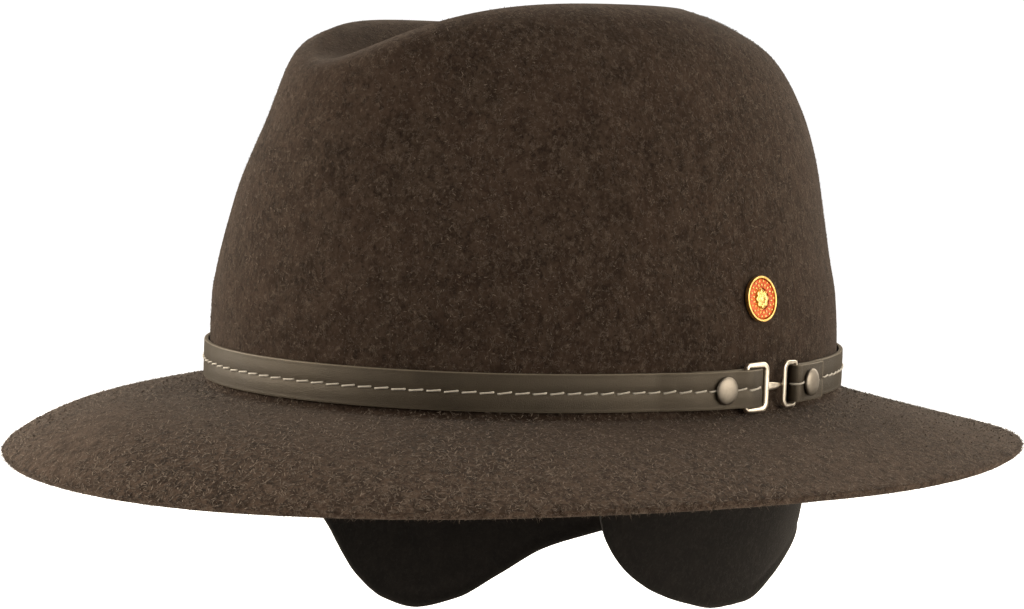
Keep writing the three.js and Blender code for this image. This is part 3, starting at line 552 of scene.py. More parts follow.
def felt_body():
    """The whole felt, and for the fibres the rings of its outer face with their normals."""
    tip = dent_point(np.zeros(1), np.ones(1))[0]
    outer = felt_rings(*OUTER_STEPS)
    normals = ring_normals(outer, tip)
    inner = felt_rings(*INNER_STEPS)
    inner = inner - FELT_THICKNESS * ring_normals(inner, tip)
    # The cut edge is a little rounded and uneven: an arc joins both faces
    outward, edge_normal = base_normal(COLUMN_ANGLES), normals[0]
    wobble = 0.12 * np.sin(23 * COLUMN_ANGLES + 1) + 0.1 * np.sin(57 * COLUMN_ANGLES) \
        + rng.normal(0, 0.06, COLUMNS)
    arc = []
    for turn in np.linspace(0, math.pi, CUT_STEPS):
        pull = CUT_ROUNDING * (1 - math.sin(turn) ** 0.7) - CUT_PROUD + wobble * math.sin(turn)
        down = FELT_THICKNESS / 2 * (1 - math.cos(turn))
        arc.append(outer[0] - outward * pull[:, None] - edge_normal * down)
    rings = np.concatenate([inner[:0:-1], np.array(arc)[::-1], outer[1:]])
    # Slow unevenness of hand-blocked felt, on the outer face and less on the brim than on the crown
    x, y, z = np.moveaxis(rings, -1, 0)
    bumps = 0.22 * np.sin(x / 17 + z / 23) * np.sin(y / 19 - z / 29) * np.where(z > 20, 1, 0.5)
    raised = np.concatenate([0 * inner[:0:-1], np.repeat(edge_normal[None], len(arc), 0), normals[1:]])
    rings = rings + raised * bumps[..., None]
    inner_tip = tip - np.array([0, 0, FELT_THICKNESS])
    points = np.concatenate([rings.reshape(-1, 3), [inner_tip, tip]])
    faces = strip_faces(len(rings), COLUMNS)
    total, last = len(rings) * COLUMNS, (len(rings) - 1) * COLUMNS
    for j in range(COLUMNS):
        k = (j + 1) % COLUMNS
        faces += [[j, total, k], [last + j, last + k, total + 1]]
    made = piece("felt_body_blocked", points, faces, FELT, ["felt_body"])
    base = np.array([CROWN_HALF_WIDTH, CROWN_HALF_LENGTH])
    beyond = (np.linalg.norm(points[:, :2] / base, axis=1) - 1) * base.mean()
    tone(made, "rim", np.clip((beyond - RIM_FADE_START) / RIM_FADE_LENGTH, 0, 1))
    return outer, normals


def loose_fibres(name, rings, normals, count, length, lift, width, light_share, brightest):
    """Short curved fibres that lie on the felt and stand off it a little, the dark ones less than the
    light. Length, lift as a share of it and width are ranges."""
    a, b, c = rings[:-1], np.roll(rings[:-1], -1, 1), rings[1:]
    area = np.linalg.norm(np.cross(b - a, c - a), axis=-1).ravel()
    i, j = np.divmod(rng.choice(len(area), count, p=area / area.sum()), rings.shape[1])
    k = (j + 1) % rings.shape[1]
    u, v = rng.random((2, count, 1))
    root = rings[i, j] * (1 - u) * (1 - v) + rings[i, k] * u * (1 - v) + rings[i + 1, j] * (1 - u) * v \
        + rings[i + 1, k] * u * v
    normal = unit(normals[i, j])
    first = unit(rings[i, k] - rings[i, j])
    second = np.cross(normal, first)
    turn = rng.random((count, 1)) * TURN
    ahead = first * np.cos(turn) + second * np.sin(turn)
    beside = np.cross(normal, ahead)
    size = rng.uniform(*length, (count, 1))
    light = rng.random(count) < light_share
    rise = rng.uniform(*lift, (count, 1)) * size * np.where(light, 1, DARK_FIBRE_RISE)[:, None]
    bend = rng.normal(0, FIBRE_BEND, (count, 1)) * size
    half = rng.uniform(*width, (count, 1)) / 2
    middle = root + ahead * size * 0.5 + normal * rise * 0.75 + beside * bend * 0.35
    end = root + ahead * size + normal * rise + beside * bend
    root = root - normal * FIBRE_ROOT_DEPTH
    points = np.stack([
        root - beside * half, root + beside * half, middle + beside * half, middle - beside * half, end,
    ], 1).reshape(-1, 3)
    start = 5 * np.arange(count)[:, None]
    quads = (start + np.array([0, 1, 2, 3])).tolist()
    tips = (start + np.array([3, 2, 4])).tolist()
    made = piece(name, points, quads + tips, NAP)
    light_tones, dark_tones = brightest * rng.uniform(0.35, 1.0, count), rng.uniform(0.01, 0.14, count)
    tone(made, "tone", np.repeat(np.where(light, light_tones, dark_tones), 5))


def felt_nap(outer, normals):
    brim, crown, flat = slice(CROWN_START), slice(CROWN_START, None), slice(OUTER_STEPS[0])
    under = outer[flat] - normals[flat] * FELT_THICKNESS
    edge = np.stack([outer[0] - normals[0] * depth for depth in (0.2, 1.1, 2.1)])
    edge_out = np.repeat(base_normal(COLUMN_ANGLES)[None], len(edge), 0)
    fine = (0.05, 0.1)
    loose_fibres("felt_nap_crown", outer[crown], normals[crown], 46000,
                 (0.4, 1.3), (0.05, 0.3), (0.1, 0.24), 0.34, 0.62)
    loose_fibres("felt_nap_brim", outer[brim], normals[brim], 64000,
                 (0.6, 1.8), (0.05, 0.34), (0.12, 0.34), 0.55, 0.85)
    loose_fibres("felt_nap_underside", under, -normals[flat], 22000, (0.8, 2.4), (0.05, 0.25), fine, 0.4, 0.6)
    loose_fibres("felt_nap_edge", edge, edge_out, 9000, (0.6, 1.8), (0.3, 0.9), fine, 0.5, 0.7)


felt_nap(*felt_body())


# -------- leather band

CLEARANCE, BAND_WIDTH, BAND_THICKNESS, BAND_BOTTOM = 0.3, 11.2, 1.4, 2.3
INNER_TAIL, OUTER_TAIL, RAMP, TAIL_SPRING = 10.0, 10.0, 12.0, 1.15
CLASP_ANGLE, HOOK_TO_EYE, HOOK_LENGTH, EYE_LENGTH = 12.2, 9.5, 8.9, 6.2
HOOK_SLACK, FOLD_TIP_GAP = 5.2, 1.0
RIVET_BACK_RADIUS, RIVET_BACK_THICKNESS = 3.0, 0.4
FOLD_TO_FRONT_RIVET, FOLD_TO_REAR_RIVET = 9.5, 6.15
FOLD_STEPS, TAIL_STEP, LONG_STEP = 14, 0.8, 2.4
LAYER_STEP = BAND_THICKNESS + CLEARANCE
ON_FELT = CLEARANCE + BAND_THICKNESS / 2
ON_RIVET = CLEARANCE + RIVET_BACK_THICKNESS + ON_FELT
HOOK_WIRE, EYE_WIRE = (1.5, 1.6), (1.1, 1.0)
# The band is folded round the eye's bar; the hook's ring has slid back into its fold
HOOK_RADIUS = HOOK_WIRE[1] / 2 + CLEARANCE + BAND_THICKNESS / 2
TIP_RADIUS = (FOLD_TIP_GAP + BAND_THICKNESS) / 2
EYE_RADIUS = EYE_WIRE[1] / 2 + CLEARANCE + BAND_THICKNESS / 2
HOOK_OFF, EYE_OFF = ON_FELT + HOOK_RADIUS, ON_FELT + EYE_RADIUS
HOOK_BAR, EYE_BAR = -HOOK_TO_EYE / 2, HOOK_TO_EYE / 2
HOOK_FOLD, EYE_FOLD = HOOK_BAR - HOOK_LENGTH, EYE_BAR + EYE_LENGTH
HOOK_TIP = HOOK_FOLD + HOOK_SLACK
FRONT_RIVET, REAR_RIVET = HOOK_FOLD - FOLD_TO_FRONT_RIVET, EYE_FOLD + FOLD_TO_REAR_RIVET
INNER_END, OUTER_END = FRONT_RIVET - INNER_TAIL, REAR_RIVET + OUTER_TAIL
BAND_MIDDLE = BAND_BOTTOM + BAND_WIDTH / 2

ARC_ANGLES = np.linspace(0, TURN, 7201)
ARC = np.concatenate([[0], np.cumsum(np.linalg.norm(np.diff(base_point(ARC_ANGLES), axis=0), axis=1))])
PERIMETER = ARC[-1]
CLASP_ARC = np.interp(math.radians(CLASP_ANGLE), ARC_ANGLES, ARC)


def band_angle(distance):
    return np.interp((CLASP_ARC + np.asarray(distance, float)) % PERIMETER, ARC, ARC_ANGLES)


def band_point(distance, off):
    angle = band_angle(distance)
    point = base_point(angle) + base_normal(angle) * np.reshape(off, np.shape(angle) + (1,))
    point[..., 2] = BAND_MIDDLE
    return point


def over_rivet(rivet, off):
    return [[rivet - RIVET_BACK_RADIUS, off], [rivet + RIVET_BACK_RADIUS, off]]


# Columns: distance along the band, and how far its middle lies off the felt
SPRUNG = ON_FELT + TAIL_SPRING * LAYER_STEP
FRONT_INNER = np.array([
    [INNER_END, ON_FELT], *over_rivet(FRONT_RIVET, ON_RIVET), [HOOK_FOLD, ON_FELT], [HOOK_TIP, ON_FELT]])
FRONT_OUTER = np.array([
    [INNER_END - RAMP, ON_FELT], [INNER_END - BAND_THICKNESS, ON_FELT + LAYER_STEP],
    [INNER_END + BAND_THICKNESS, SPRUNG], *over_rivet(FRONT_RIVET, ON_RIVET + LAYER_STEP),
    [HOOK_FOLD, HOOK_OFF + HOOK_RADIUS], [HOOK_TIP, ON_FELT + 2 * TIP_RADIUS]])
REAR_INNER = np.array([[EYE_FOLD, ON_FELT], *over_rivet(REAR_RIVET, ON_RIVET), [OUTER_END, ON_FELT]])
REAR_OUTER = np.array([
    [EYE_FOLD, EYE_OFF + EYE_RADIUS], *over_rivet(REAR_RIVET, ON_RIVET + LAYER_STEP), [OUTER_END, SPRUNG]])
AROUND = np.array([[-PERIMETER, ON_FELT], [0, ON_FELT]])


def layer(rows, start, stop, step=TAIL_STEP):
    distance = np.linspace(start, stop, max(3, round(abs(stop - start) / step) + 1))
    return band_point(distance, along(rows, 1, distance))


def fold(at, radius, forwards):
    outward = base_normal(band_angle(at))
    ahead = np.array([-outward[1], outward[0], 0]) * forwards
    turn = np.linspace(0, math.pi, FOLD_STEPS + 1)[1:-1, None]
    return band_point(at, ON_FELT + radius) + radius * (np.sin(turn) * ahead - np.cos(turn) * outward)


def band_line():
    """Middle line of the strap in the plan, from its hidden front end to its rear end on top, with
    the directions ahead and to the left, and which points are the front fold's tip, the end of the
    single run and the rear fold's tip."""
    whole_from, whole_to = INNER_END - RAMP, OUTER_END - PERIMETER
    parts = [
        layer(FRONT_INNER, INNER_END, HOOK_TIP), fold(HOOK_TIP, TIP_RADIUS, 1),
        layer(FRONT_OUTER, HOOK_TIP, whole_from), layer(AROUND, whole_from, whole_to, LONG_STEP)[1:],
        layer(REAR_INNER, OUTER_END, EYE_FOLD)[1:], fold(EYE_FOLD, EYE_RADIUS, -1),
        layer(REAR_OUTER, EYE_FOLD, OUTER_END)]
    ends = np.cumsum([len(part) for part in parts])
    line = np.concatenate(parts)[:, :2]
    step = unit(np.diff(line, axis=0))
    ahead = unit(np.concatenate([step[:1], step[:-1] + step[1:], step[-1:]]))
    left = np.stack([-ahead[:, 1], ahead[:, 0]], -1)
    return line, ahead, left, (ends[0] + FOLD_STEPS // 2, ends[3] - 1, ends[4] + FOLD_STEPS // 2)


def band_section():
    """Section of the strap as offsets to the left of its run and heights: rounded corners, a
    slightly crowned face on either side, a creased line near each edge and a groove for the thread."""
    half, thick, corner = BAND_WIDTH / 2, BAND_THICKNESS / 2, 0.32
    face = [
        [thick - 0.02, half - corner], [thick, half - 0.75], [thick - 0.03, half - 1.0],
        [thick, half - 1.25], [thick + 0.03, 2.6], [thick, 0.75], [thick - 0.13, 0.38], [thick - 0.15, 0.0]]
    face = face + [[a, -h] for a, h in face[-2::-1]]
    arc = [[thick - corner + corner * math.sin(t), half - corner + corner * math.cos(t)]
           for t in np.linspace(0, math.pi / 2, 4)[:-1]]
    top = [[-a, h] for a, h in arc[::-1]] + arc
    bottom = [[a, -h] for a, h in top[::-1]]
    section = top + face + bottom + [[-a, -h] for a, h in face]
    edge = [1.0] * len(top) + [0.0] * len(face) + [1.0] * len(bottom) + [0.0] * len(face)
    return np.array(section), np.array(edge)


def leather_band(line, ahead, left):
    section, edge = band_section()
    # One more ring at each end, a little on and smaller, softens the cut corners
    end_step, end_size = 0.15, (0.8, 0.97)
    line = np.concatenate([[line[0] - ahead[0] * end_step], line, [line[-1] + ahead[-1] * end_step]])
    left = np.concatenate([left[:1], left, left[-1:]])
    size = np.ones((len(line), 2))
    size[[0, -1]] = end_size
    across = section[:, 0][None, :, None] * (left * size[:, :1])[:, None]
    height = BAND_MIDDLE + section[:, 1] * size[:, 1:]
    rings = np.concatenate([line[:, None, :] + across, height[..., None]], -1)
    made = Shell().grid(rings, caps=True).piece("hat_band_leather", LEATHER, "band_leather", ["hat_band"])
    shade = np.tile(edge, (len(rings), 1))
    shade[[0, 1, -2, -1]] = 1.0
    tone(made, "edge", shade.ravel())


def stitches(line, left, turns):
    """Running stitches through the strap's middle, on the side that shows. The first of each row is
    a longer one that goes over the fold."""
    pitch, long, over_fold, radius, around = 5.05, 4.25, 6.1, 0.3, 10
    lean, lean_spread, shift_spread, ply_depth, ply_twist = 0.24, 0.05, 0.03, 0.16, 3.2
    after_front_tip, before_rear_tip = 1.9, 1.1
    front_tip, whole_end, rear_tip = turns
    length = np.concatenate([[0], np.cumsum(np.linalg.norm(np.diff(line, axis=0), axis=1))])
    spans = []
    for start, stop, side in ((length[front_tip] + after_front_tip, length[whole_end], 1.0),
                              (length[rear_tip] - before_rear_tip, length[-1], -1.0)):
        spans.append((start, over_fold, side))
        spans += [(at, long, side) for at in np.arange(start + over_fold + pitch - long, stop - long, pitch)]
    # Share of a stitch's length, and how far its middle then stands out of the leather
    share = np.array([0.0, 0.04, 0.12, 0.28, 0.5, 0.72, 0.88, 0.96, 1.0])
    proud = np.array([-0.5, -0.14, 0.06, 0.13, 0.15, 0.13, 0.06, -0.14, -0.5])
    turn = TURN * np.arange(around) / around
    shell = Shell()
    for start, long, side in spans:
        at = start + long * share
        place = np.stack([np.interp(at, length, line[:, k]) for k in (0, 1)], -1)
        out = side * unit(np.stack([np.interp(at, length, left[:, k]) for k in (0, 1)], -1))
        tilt, shift = side * (lean + rng.normal(0, lean_spread)), rng.normal(0, shift_spread)
        centre = np.concatenate([
            place + out * (BAND_THICKNESS / 2 + proud)[:, None],
            (BAND_MIDDLE + shift + tilt * (1 - 2 * share))[:, None]], -1)
        out = np.concatenate([out, np.zeros((len(out), 1))], -1)
        rings = []
        for i in range(len(share)):
            ply = radius * (1 + ply_depth * np.cos(2 * (turn - ply_twist * share[i] * long)))
            rings.append(centre[i] + ply[:, None] * (
                np.outer(np.cos(turn), out[i]) + np.outer(np.sin(turn), [0, 0, 1])))
        shell.grid(rings, caps=True)
    shell.piece("band_stitches", THREAD, "band_leather")


strap, strap_ahead, strap_left, strap_turns = band_line()
leather_band(strap, strap_ahead, strap_left)
stitches(strap, strap_left, strap_turns)


# -------- clasp

def wire_path(length, height, front):
    """Middle line of a ring in its flat frame, with the outward direction at each point. The corners
    are wide at the bar that shows and narrow in the fold."""
    front_corner, fold_corner, corner_steps = 2.0, 0.9, 10
    quarter = np.repeat(np.arange(4), corner_steps)
    turn = (quarter + np.tile(np.linspace(0, 1, corner_steps), 4)) * math.pi / 2
    right, top = np.array([1, -1, -1, 1])[quarter], np.array([1, 1, -1, -1])[quarter]
    corner = np.where(right == front, front_corner, fold_corner)
    outs = np.stack([np.cos(turn), np.sin(turn)], -1)
    middles = np.stack([right * (length / 2 - corner), top * (height / 2 - corner)], -1)
    return middles + corner[:, None] * outs, outs


def ring(shell, distance, off, length, wire, front, outer, inner):
    """A ring of flattened wire, heavier towards the bar that shows: by a share of the wire's width
    outside and, at the bar, inside."""
    width, depth = wire
    height = BAND_WIDTH + 2 * CLEARANCE + width
    centres, outs = wire_path(length, height, front)
    sides, squareness = 20, 3
    around = TURN * (np.arange(sides) + 0.5) / sides
    section = np.stack([np.cos(around), np.sin(around)])
    section = section / (np.abs(section) ** squareness).sum(0) ** (1 / squareness)
    a, b = section * [[width / 2], [depth / 2]]
    ahead = np.clip(0.5 + front * centres[:, :1] / length, 0, 1)
    at_bar = np.clip((ahead - 0.6) / 0.3, 0, 1)
    a = a * np.where(a > 0, 1 + outer * ahead, 1 + inner * at_bar)
    flat = centres[:, None] + outs[:, None] * a[..., None]
    rings = np.concatenate([flat, np.tile(b, (len(flat), 1))[..., None]], -1)
    placed = placer(band_point(distance, off), base_normal(band_angle(distance)))
    shell.grid(placed(rings), closed_rows=True)


# Columns: share of the way from the hook's bar to the eye's bar, how far the tongue has gone
# behind the eye, and its width as a share of the full one
TONGUE_ROWS = np.array([
    [-.02, 0, .8], [.08, .01, 1], [.25, .04, .94], [.5, .1, .78], [.7, .35, .62], [.85, .75, .5],
    [.93, .94, .44], [1, 1, .4], [1.12, .92, .4], [1.18, .85, .25]])
TONGUE_HALF_WIDTH, TONGUE_HALF_THICKNESS = 1.3, 0.42


def tongue(shell):
    """The hook's tongue, from its bar to just past the eye's bar and behind that."""
    behind = EYE_OFF - (EYE_WIRE[1] / 2 + CLEARANCE + 0.4)
    turn = TURN * np.arange(16) / 16
    rings = []
    for reach in np.concatenate([np.linspace(-0.02, 1.12, 26), [1.15, 1.17, 1.18]]):
        distance = HOOK_BAR + HOOK_TO_EYE * reach
        off = HOOK_OFF + (behind - HOOK_OFF) * along(TONGUE_ROWS, 1, np.array(reach))
        centre = band_point(distance, off)
        outward = base_normal(band_angle(distance))
        half = TONGUE_HALF_WIDTH * along(TONGUE_ROWS, 2, np.array(reach))
        rings.append(centre + np.outer(TONGUE_HALF_THICKNESS * np.sin(turn), outward)
                     + np.outer(half * np.cos(turn), [0, 0, 1.0]))
    shell.grid(np.array(rings), caps=True)


def clasp():
    hook = Shell()
    ring(hook, HOOK_FOLD + HOOK_LENGTH / 2, HOOK_OFF, HOOK_LENGTH, HOOK_WIRE, 1, 0.3, 0.45)
    tongue(hook)
    hook.piece("hook_ring_with_tongue", NICKEL, "clasp_metal", ["hook_ring"])
    eye = Shell()
    ring(eye, EYE_FOLD - EYE_LENGTH / 2, EYE_OFF, EYE_LENGTH, EYE_WIRE, -1, 0.5, 0.8)
    eye.piece("eye_ring_wire", NICKEL, "clasp_metal", ["eye_ring"])


clasp()


# -------- rivets

CAP_RADIUS, CAP_HEIGHT, CAP_LIP, CAP_UNDERCUT, RIVET_POST_RADIUS = 4.15, 1.6, 0.2, 0.35, 1.2
CAP_BASE = ON_RIVET + LAYER_STEP + BAND_THICKNESS / 2 + CLEARANCE


def rivet(name, distance, node):
    """A turned rivet: disc behind the strap, post and domed cap."""
    placed = placer(band_point(distance, 0.0), base_normal(band_angle(distance)))
    disc = CLEARANCE + RIVET_BACK_THICKNESS
    dome = [[CAP_RADIUS * math.cos(t), CAP_BASE + CAP_HEIGHT * (0.3 + 0.7 * math.sin(t) ** 0.9)]
            for t in np.linspace(0.12, math.pi / 2, 14)[:-1]]
    profile = rounded([
        [AXIS, CLEARANCE], [RIVET_BACK_RADIUS, CLEARANCE], [RIVET_BACK_RADIUS, disc],
        [RIVET_POST_RADIUS, disc], [RIVET_POST_RADIUS, CAP_BASE], [CAP_RADIUS - CAP_UNDERCUT, CAP_BASE],
        [CAP_RADIUS, CAP_BASE + CAP_LIP * CAP_HEIGHT]], 0.12)
    profile = np.concatenate([profile, dome, [[AXIS, CAP_BASE + CAP_HEIGHT]]])
    Shell().grid(placed(lathe(profile, 56)), caps=True).piece(name, RIVET, "rivet_metal", [node])


rivet("rivet_front_cap", FRONT_RIVET, "rivet_front")
rivet("rivet_rear_cap", REAR_RIVET, "rivet_rear")


# -------- pin

BADGE_ANGLE, BADGE_HEIGHT = math.radians(9.6), 33.7
BADGE_RADIUS, RIM_WIDTH, FLOOR, RIM_HEIGHT, POST_RADIUS, ROSETTE_RADIUS = 6.85, 0.7, 0.5, 1.4, 0.6, 3.0
CLUTCH_GAP, CLUTCH_THICKNESS, CLUTCH_RADIUS, CLUTCH_BORE = 0.8, 2.4, 5.0, 0.9
# Share of the rosette's radius, and height over the back of the dish
ROSETTE_ROWS = ((1.0, FLOOR), (1.0, 1.22), (0.93, 1.36), (0.6, 1.3), (0.42, 1.16), (0.36, 1.42), (0.2, 1.52))
# Beads and leaves take turns round the rosette: radius, distance from the middle and lengthening
BEAD, LEAF, BEAD_COUNT = (0.4, 5.3, 1.0), (0.3, 4.15, 1.9), 18
BEAD_ROWS = np.array([[1.0, 0.9], [1.0, 1.22], [0.7, 1.38], [0.25, 1.44]])
ENAMEL_BACK, ENAMEL_SIDE, ENAMEL_MIDDLE, ENAMEL_CREST_RADIUS = 0.8, 1.12, 1.24, 4.7


def pin():
    angle, height = np.array([BADGE_ANGLE]), np.array([BADGE_HEIGHT])
    outward = wall_normal(angle, height)[0]
    placed = placer(wall_at(angle, height)[0] + outward * CLEARANCE, outward)
    inner = BADGE_RADIUS - RIM_WIDTH
    clutch_top = -(CLEARANCE + FELT_THICKNESS + CLUTCH_GAP)
    low = clutch_top - CLUTCH_THICKNESS
    dish = Shell()
    profile = rounded([
        [AXIS, low], [POST_RADIUS, low], [POST_RADIUS, 0], [BADGE_RADIUS, 0], [BADGE_RADIUS, RIM_HEIGHT],
        [inner, RIM_HEIGHT], [inner - 0.1, FLOOR], [AXIS, FLOOR]], 0.25)
    dish.grid(placed(lathe(profile, 96)), caps=True)
    # Rosette of eight petals with a round raised button in its middle
    turn = TURN * np.arange(96) / 96
    petal = 0.72 + 0.28 * np.abs(np.cos(4 * turn)) ** 0.8
    rings = []
    for share, top in ROSETTE_ROWS:
        radius = ROSETTE_RADIUS * share * (petal if share > 0.5 else 1 + 0 * petal)
        rings.append(np.stack([radius * np.cos(turn), radius * np.sin(turn), top + 0 * turn], -1))
    dish.grid(placed(np.array(rings)), caps=True)
    for n in range(2 * BEAD_COUNT):
        way = np.array([math.cos(math.pi * n / BEAD_COUNT), math.sin(math.pi * n / BEAD_COUNT), 0])
        size, reach, long = (BEAD, LEAF)[n % 2]
        dome = lathe(BEAD_ROWS * [size, 1], 10)
        dome = dome + ((dome * [1, 1, 0]) @ way)[..., None] * way * (long - 1) + way * reach
        dish.grid(placed(dome), caps=True)
    dish.piece("badge_dish_gold", GOLD, "pin_metal", ["badge_dish"])
    inner_radius, outer_radius = ROSETTE_RADIUS + CLEARANCE, inner - CLEARANCE
    profile = rounded([
        [inner_radius, ENAMEL_BACK], [outer_radius, ENAMEL_BACK], [outer_radius, ENAMEL_SIDE],
        [ENAMEL_CREST_RADIUS, ENAMEL_MIDDLE], [inner_radius, ENAMEL_SIDE], [inner_radius, ENAMEL_BACK]], 0.14)
    enamel = Shell().grid(placed(lathe(profile, 96)))
    enamel.piece("badge_enamel_fill", ENAMEL, "pin_enamel", ["badge_enamel"])
    profile = rounded([
        [CLUTCH_BORE, low], [CLUTCH_RADIUS - 1.6, low], [CLUTCH_RADIUS, low + 1.0],
        [CLUTCH_RADIUS, clutch_top], [CLUTCH_BORE, clutch_top], [CLUTCH_BORE, low]], 0.3)
    clutch = Shell().grid(placed(lathe(profile, 48)))
    clutch.piece("badge_clutch_back", NICKEL, "clasp_metal", ["badge_clutch"])


pin()


# -------- ear flaps

FLAP_THICKNESS, FLAP_GAP, FLAP_TOP, FLAP_BAND_BOTTOM, FLAP_DROP = 2.6, 0.6, 18.0, 2.0, 86.7
FLAP_LEAN, HEM_INSET, HEM_DEPTH, HEM_WIDTH, HEM_TOP = math.tan(math.radians(8)), 4.2, 0.45, 0.7, -4
# Columns: degrees from the side of the head towards the back, then the drop of the left and
# the right flap as shares of the full drop
FLAP_ROWS = np.array([
    [-20.5, .026, .026], [-19.5, .366, .436], [-17.5, .462, .55], [-13.5, .556, .662], [-10, .606, .773],
    [-7, .639, .848], [0, .688, .95], [9, .724, 1], [18, .721, .976], [28, .66, .888], [38, .598, .788],
    [48, .567, .731], [62, .563, .662], [90, .576, .576]])


def flap_face(angle, height, depth):
    """Points at a depth behind the felt's outer face, which lean inwards below the crown."""
    top = np.maximum(height, ROOT_FILLET)
    point = wall_at(angle, top) - depth[..., None] * wall_normal(angle, top)
    point = point - base_normal(angle) * (np.maximum(0, -height) * FLAP_LEAN)[..., None]
    point[..., 2] = height
    return point


def flap_lower_edge(angle):
    on_left = np.cos(angle) >= 0
    from_side = np.where(on_left, angle, math.pi - angle)
    degrees = np.degrees(np.arctan2(np.sin(from_side), np.cos(from_side)))
    share = np.where(on_left, along(FLAP_ROWS, 1, degrees), along(FLAP_ROWS, 2, degrees))
    front_edge, front_rise = FLAP_ROWS[0, 0], 0.4
    share = share * np.clip((degrees - front_edge) / front_rise + 1, 0, 1)
    return FLAP_BAND_BOTTOM - FLAP_DROP * share


def foot_arc(angle):
    """Distance round the crown's foot, which goes on past a full turn."""
    return np.interp(angle % TURN, ARC_ANGLES, ARC) + PERIMETER * np.floor(angle / TURN)


def ear_flaps():
    """One padded band of cloth inside the crown's foot, with a flap at each side."""
    # Columns stand closer where the front edge of a flap is steep
    half = np.concatenate([
        np.linspace(-90, -21.5, 44)[1:], np.linspace(-21.1, -19.2, 12), np.linspace(-18.8, -13, 14),
        np.linspace(-12, 90, 86)[:-1]])
    angle = np.radians(np.concatenate([half, [90], (180 - half)[::-1], [270]]))
    fine = np.radians(np.linspace(-90, 270, 4000))
    outline = np.stack([foot_arc(fine), flap_lower_edge(fine)], -1)
    share = 0.5 * (1 - np.cos(np.linspace(0, math.pi, 40)))
    height = FLAP_TOP + (flap_lower_edge(angle) - FLAP_TOP)[None, :] * share[:, None]
    place = np.stack([np.broadcast_to(foot_arc(angle), height.shape), height], -1)
    # How far each point lies from the cloth's edges, where both faces meet in a round
    reach = FLAP_TOP - height
    for part in np.array_split(outline, 40):
        reach = np.minimum(reach, np.linalg.norm(place[:, :, None, :] - part, axis=-1).min(-1))
    half_thick = FLAP_THICKNESS / 2
    full = half_thick * np.sqrt(np.clip(1 - (1 - np.clip(reach / half_thick, 0, 1)) ** 2, 0, 1))
    # A flat hem: a row of stitching inside the edge pulls the cloth in
    full = full - HEM_DEPTH * np.exp(-((reach - HEM_INSET) / HEM_WIDTH) ** 2) * (height < HEM_TOP)
    middle = FELT_THICKNESS + FLAP_GAP + half_thick
    turn = np.broadcast_to(angle, height.shape)
    hang = np.clip(-height / 40, 0, 1)
    wave = hang * (0.7 * np.sin(3 * turn + height / 34) + 0.4 * np.sin(7 * turn - height / 21))
    outer = flap_face(turn, height, middle - full + wave)
    inner = flap_face(turn, height, middle + full + wave)
    cloth = Shell().grid(np.concatenate([outer, inner[::-1][1:-1]]), closed_rows=True)
    made = cloth.piece("ear_flap_cloth", CLOTH, "flap_cloth", ["ear_flap_band"])


ear_flaps()


# -------- camera, light and floor

# In metres, radians and pixels of the photograph
CAMERA_AZIMUTH, CAMERA_ROLL, CAMERA_HEIGHT = math.radians(50), math.radians(2.024), 0.11615
AIM_ACROSS, AIM_HEIGHT, FOCAL_PIXELS, PICTURE_WIDTH, SENSOR_WIDTH = -0.00579, 0.02453, 3195.7, 1024, 36.0
FLOOR_HEIGHT, FLOOR_CORNERS = -0.2, ((-9, -9), (9, -9), (9, 9), (-9, 9))
# Columns: degrees round from the camera towards the right and up, width, height and power
SOFTBOXES = {
    "left_softbox": (-74, 18, 0.9, 0.7, 16.5), "far_left_softbox": (-112, 21, 1.0, 0.9, 14.0),
    "back_left_softbox": (-150, 22, 1.1, 1.1, 9.5), "right_front_softbox": (42, 20, 0.8, 0.8, 5.8),
    "right_softbox": (76, 10, 0.9, 0.7, 10.5), "high_right_softbox": (100, 50, 0.9, 0.9, 5.0),
    "back_right_softbox": (148, 22, 1.2, 1.1, 15.5)}
LAMP_COLOUR, LAMP_DISTANCE, LAMP_CENTRE_HEIGHT = (1.0, 0.90, 0.76), 1.4, 0.03
# How bright the backdrop is as a light and to the camera
ROOM_LIGHT, ROOM_SEEN = 0.07, 1.06
UP, WHITE = Vector((0, 0, 1)), rgb(1.0, 1.0, 1.0)


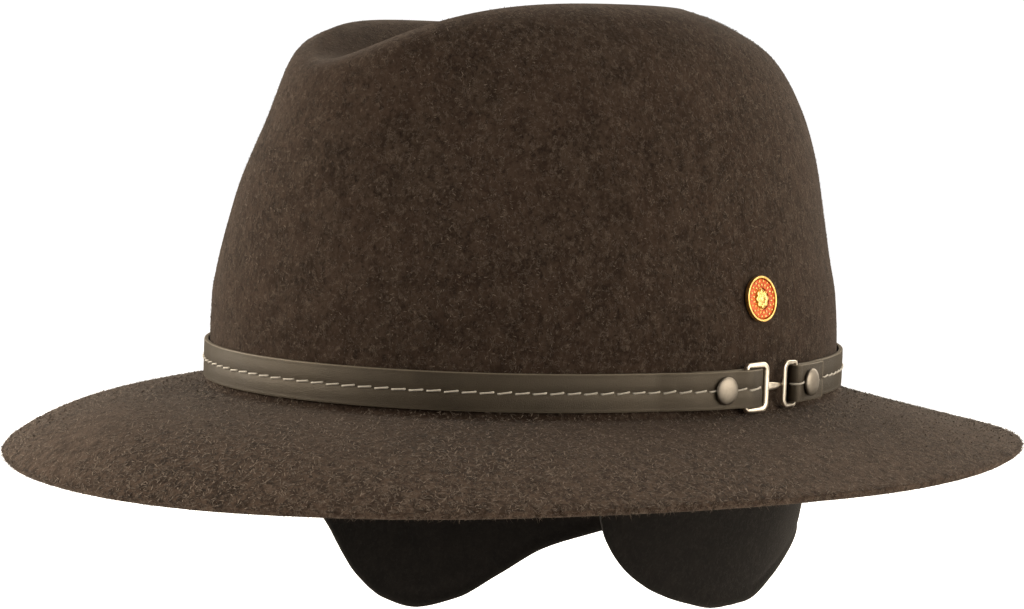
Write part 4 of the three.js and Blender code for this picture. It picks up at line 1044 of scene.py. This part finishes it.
def scene_camera():
    """The camera, with the level directions towards it and to its right."""
    towards = Vector((math.sin(CAMERA_AZIMUTH), -math.cos(CAMERA_AZIMUTH), 0))
    beside = Vector((math.cos(CAMERA_AZIMUTH), math.sin(CAMERA_AZIMUTH), 0))
    place = towards + UP * CAMERA_HEIGHT
    view = (beside * AIM_ACROSS + UP * AIM_HEIGHT - place).normalized()
    right = view.cross(UP).normalized()
    up = right.cross(view)
    leaned = right * math.cos(CAMERA_ROLL) + up * math.sin(CAMERA_ROLL)
    upright = up * math.cos(CAMERA_ROLL) - right * math.sin(CAMERA_ROLL)
    turned = Matrix((leaned, upright, -view)).transposed().to_quaternion()
    camera = new_object("camera", bpy.data.cameras.new("camera"))
    camera.data.sensor_fit = "HORIZONTAL"
    camera.data.sensor_width = SENSOR_WIDTH
    camera.data.lens = FOCAL_PIXELS / PICTURE_WIDTH * SENSOR_WIDTH
    camera.matrix_world = Matrix.LocRotScale(place, turned, None)
    bpy.context.scene.camera = camera
    return towards, beside


def softboxes(towards, beside):
    for name, (degrees, rise, width, height, power) in SOFTBOXES.items():
        turn, lift = math.radians(degrees), math.radians(rise)
        way = (towards * math.cos(turn) + beside * math.sin(turn)) * math.cos(lift) + UP * math.sin(lift)
        light = bpy.data.lights.new(name, "AREA")
        light.shape = "RECTANGLE"
        light.size, light.size_y = width, height
        light.energy = power
        light.color = LAMP_COLOUR
        made = new_object(name, light)
        made.location = way * LAMP_DISTANCE + UP * LAMP_CENTRE_HEIGHT
        made.rotation_euler = (-way).to_track_quat("-Z", "Y").to_euler()


def camera_ray(tree):
    return add(tree, "ShaderNodeLightPath").outputs["Is Camera Ray"]


def studio():
    softboxes(*scene_camera())
    mesh = bpy.data.meshes.new("floor")
    mesh.from_pydata([(x, y, FLOOR_HEIGHT) for x, y in FLOOR_CORNERS], [], [(0, 1, 2, 3)])
    # The paper and the backdrop are pure white to the camera and light the object only a little
    paper, tree, shader, _ = material("white_paper")
    plug(tree, shader, {
        "Base Color": rgb(0.92, 0.92, 0.92), "Roughness": 0.9, "Emission Color": WHITE,
        "Emission Strength": camera_ray(tree)})
    mesh.materials.append(paper)
    new_object("floor", mesh)
    world = bpy.data.worlds.new("studio")
    bpy.context.scene.world = world
    world.use_nodes = True
    tree = world.node_tree
    strength = spread(tree, camera_ray(tree), 0.0, 1.0, ROOM_LIGHT, ROOM_SEEN)
    plug(tree, tree.nodes["Background"].inputs, {"Color": WHITE, "Strength": strength})
    bpy.context.scene.view_settings.view_transform = "Standard"


studio()
